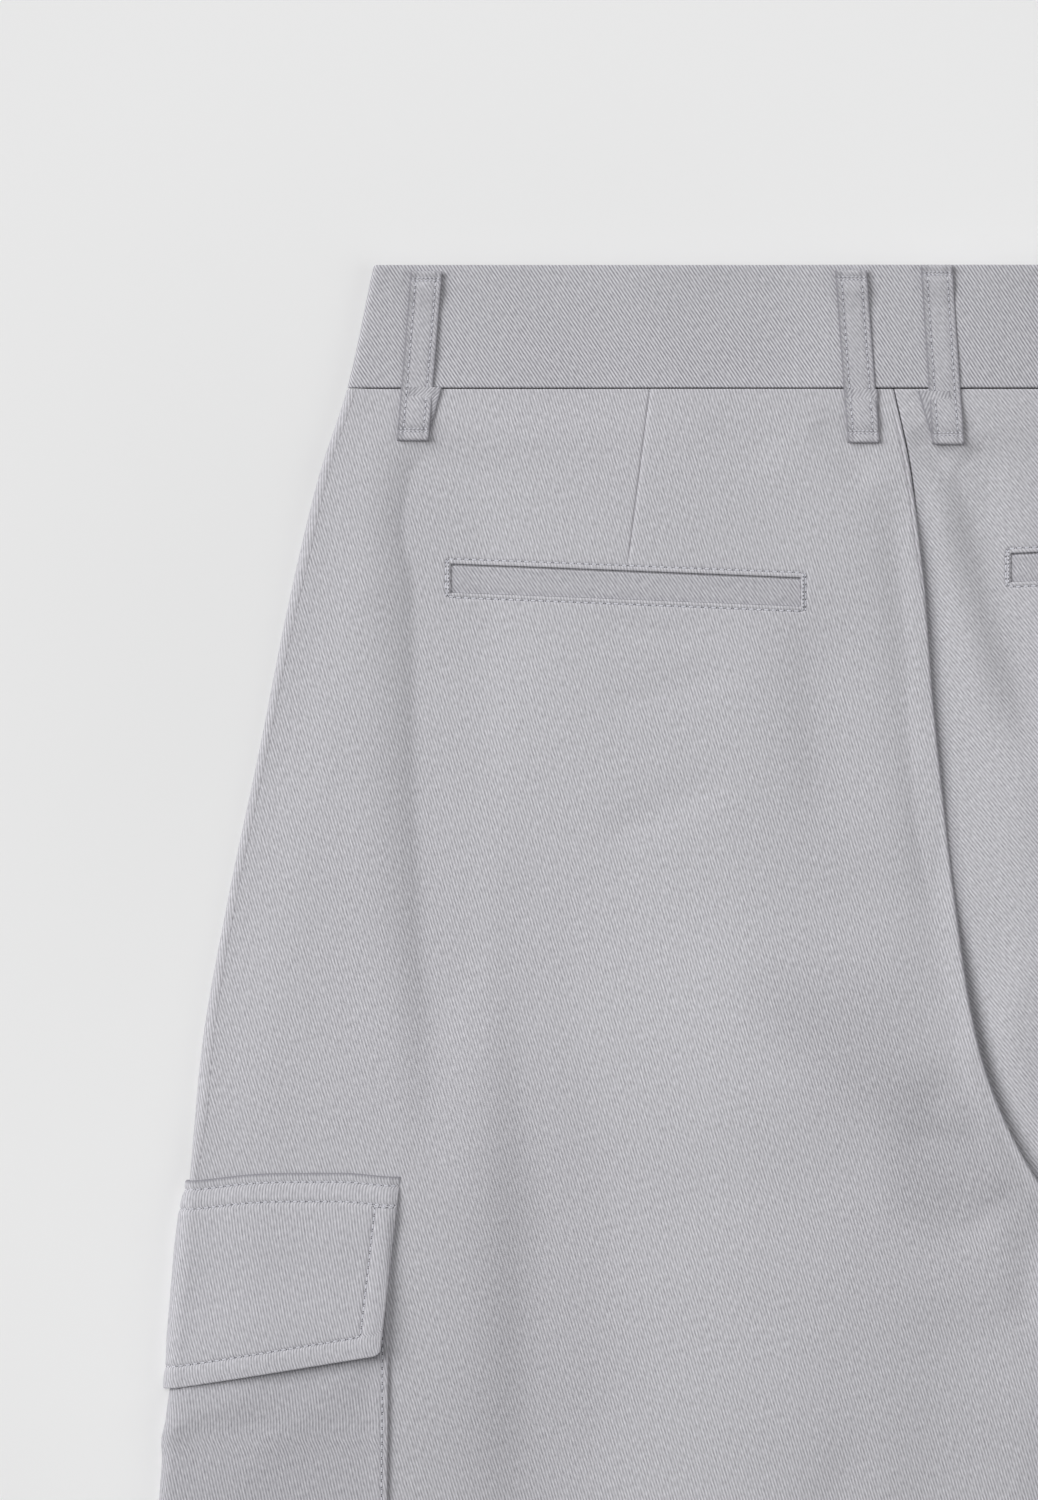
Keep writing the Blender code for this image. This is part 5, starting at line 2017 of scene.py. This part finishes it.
@dataclass
class Trousers:
    """The trousers: leg panels, waist and pockets."""

    finishes: Finishes
    stitch: StitchShape

    def build(self) -> None:
        """Builds every piece and reports it."""
        for leg in Leg:
            for face in (Face.FRONT, Face.BACK):
                panel = LegPanel(leg, face)
                self.report(panel.build(self.finishes.body))
                hem = Sewing(f"hem_stitches_{face.word}_{leg.word}", self.stitch)
                panel.hem(hem)
                self.report(hem.build(self.finishes.thread))
            self.pockets(leg)
        self.report(Waistband().build(self.finishes.band))
        for loop in LOOPS:
            self.report(loop.build(self.finishes.loop))
            sewing = Sewing(f"{loop.name}_stitches", self.stitch, rise=0.12)
            loop.sewn(sewing)
            self.report(sewing.build(self.finishes.thread))
        self.button()

    def pockets(self, leg: Leg) -> None:
        """Builds a leg's pockets and their stitches.

        Args:
            leg: which leg.
        """
        kinds = {"welt": WELTS[leg], "cargo_pocket": CargoPocket(leg), "cargo_flap": CargoFlap(leg)}
        finishes = (self.finishes.welt, self.finishes.pocket, self.finishes.flap)
        for piece, finish in zip(kinds.values(), finishes):
            self.report(piece.build(finish))
        for kind, piece in kinds.items():
            sewing = Sewing(f"{kind}_stitches_{leg.word}", self.stitch)
            piece.sewn(sewing)
            self.report(sewing.build(self.finishes.thread))

    def button(self) -> None:
        """Gives the waist button its resin."""
        for slot in bpy.data.objects["waist_button"].material_slots:
            slot.material = self.finishes.resin

    def report(self, piece: bpy.types.Object) -> None:
        """Logs a finished piece."""
        log.info("%s: %d faces", piece.name, len(piece.data.polygons))


@dataclass(frozen=True)
class SoftSun:
    """A wide soft light from one side, as strong all over the floor."""

    name: str
    strength: float
    softness: float  # degrees that it spans
    turn: float  # degrees round from the right, seen from above
    rise: float

    def hang(self) -> None:
        """Adds the light to the scene."""
        light = bpy.data.lights.new(self.name, "SUN")
        light.energy = self.strength
        light.angle = math.radians(self.softness)
        lamp = bpy.data.objects.new(self.name, light)
        turn, rise = math.radians(self.turn), math.radians(self.rise)
        towards = Vector((math.cos(turn) * math.cos(rise), math.sin(turn) * math.cos(rise), math.sin(rise)))
        lamp.rotation_euler = towards.to_track_quat("Z", "Y").to_euler()
        bpy.context.scene.collection.objects.link(lamp)


@dataclass
class Studio:
    """A pale floor, soft light from the upper left and a camera straight above."""

    floor_size: float = 40.0
    middle: tuple[float, float] = (-0.126, 0.3583)  # of the picture, on the floor
    camera_height: float = 2.006  # about 2 m above the cloth
    lens: float = 144.0  # 500 mm of cloth from the picture's top to its bottom
    surround: float = 0.13  # strength of the even light from all round
    paper: tuple[float, float] = (0.79, 0.935)  # the floor's tone under the lamp and away from it
    paper_reach: float = 0.34  # from the lamp's middle to where the tone is even
    top: float = 54.0  # watts of the lamp above the seat, whose light fades out on the thighs
    top_radius: float = 0.35
    top_cone: float = 22.0  # degrees
    top_place: tuple[float, float, float] = (-0.13, 0.75, 1.7)
    top_aim: tuple[float, float, float] = (-0.13, 0.38, 0.0)

    def build(self) -> None:
        """Builds the studio."""
        self.floor()
        self.lights()
        self.camera()

    def floor(self) -> None:
        """Lays the floor just under the cloth: paper that is paler where less light falls on it."""
        bpy.ops.object.select_all(action="DESELECT")
        bpy.ops.mesh.primitive_plane_add(size=self.floor_size, location=(0, 0, -0.0002))
        floor = bpy.context.object
        floor.name = "studio_floor"
        material, tree, shader = new_material("matt_white_paper_floor")
        place = add(tree, "ShaderNodeTexCoord").outputs["Object"]
        away = add(tree, "ShaderNodeVectorMath", {0: place, 1: self.top_aim}, operation="DISTANCE")
        tone = add(
            tree, "ShaderNodeMapRange",
            {"Value": away.outputs["Value"], "From Max": self.paper_reach, "To Min": self.paper[0],
             "To Max": self.paper[1]}, interpolation_type="SMOOTHSTEP",
        ).outputs["Result"]
        connect(tree, shader, {"Base Color": tone, "Roughness": 1.0, "Specular IOR Level": 0.0})
        floor.data.materials.append(material)

    def lights(self) -> None:
        """Sets up an even surround, soft light from the left, less from the right, and a lamp above."""
        world = bpy.data.worlds.new("studio_surround")
        world.use_nodes = True
        background = world.node_tree.nodes["Background"]
        connect(world.node_tree, background, {"Color": linear("#ffffff"), "Strength": self.surround})
        bpy.context.scene.world = world
        SoftSun("soft_key", strength=2.6, softness=42, turn=152, rise=38).hang()
        SoftSun("soft_fill", strength=0.6, softness=50, turn=-12, rise=35).hang()
        spot = bpy.data.lights.new("soft_spot", "SPOT")
        spot.energy = self.top
        spot.shadow_soft_size = self.top_radius
        spot.spot_size = math.radians(self.top_cone)
        spot.spot_blend = 1.0
        hung = bpy.data.objects.new("soft_spot", spot)
        hung.location = self.top_place
        hung.rotation_euler = (hung.location - Vector(self.top_aim)).to_track_quat("Z", "Y").to_euler()
        bpy.context.scene.collection.objects.link(hung)

    def camera(self) -> None:
        """Hangs the camera over the picture's middle, looking straight down."""
        data = bpy.data.cameras.new("overhead_camera")
        data.lens = self.lens
        camera = bpy.data.objects.new("overhead_camera", data)
        camera.location = (*self.middle, self.camera_height)
        bpy.context.scene.collection.objects.link(camera)
        bpy.context.scene.camera = camera
        bpy.context.scene.view_settings.view_transform = "Standard"


def main() -> None:
    """Dresses the trousers and sets up the studio."""
    logging.basicConfig(level=logging.INFO, format="%(name)s: %(message)s")
    Trousers(Finishes(), StitchShape()).build()
    Studio().build()


if __name__ == "__main__":
    main()
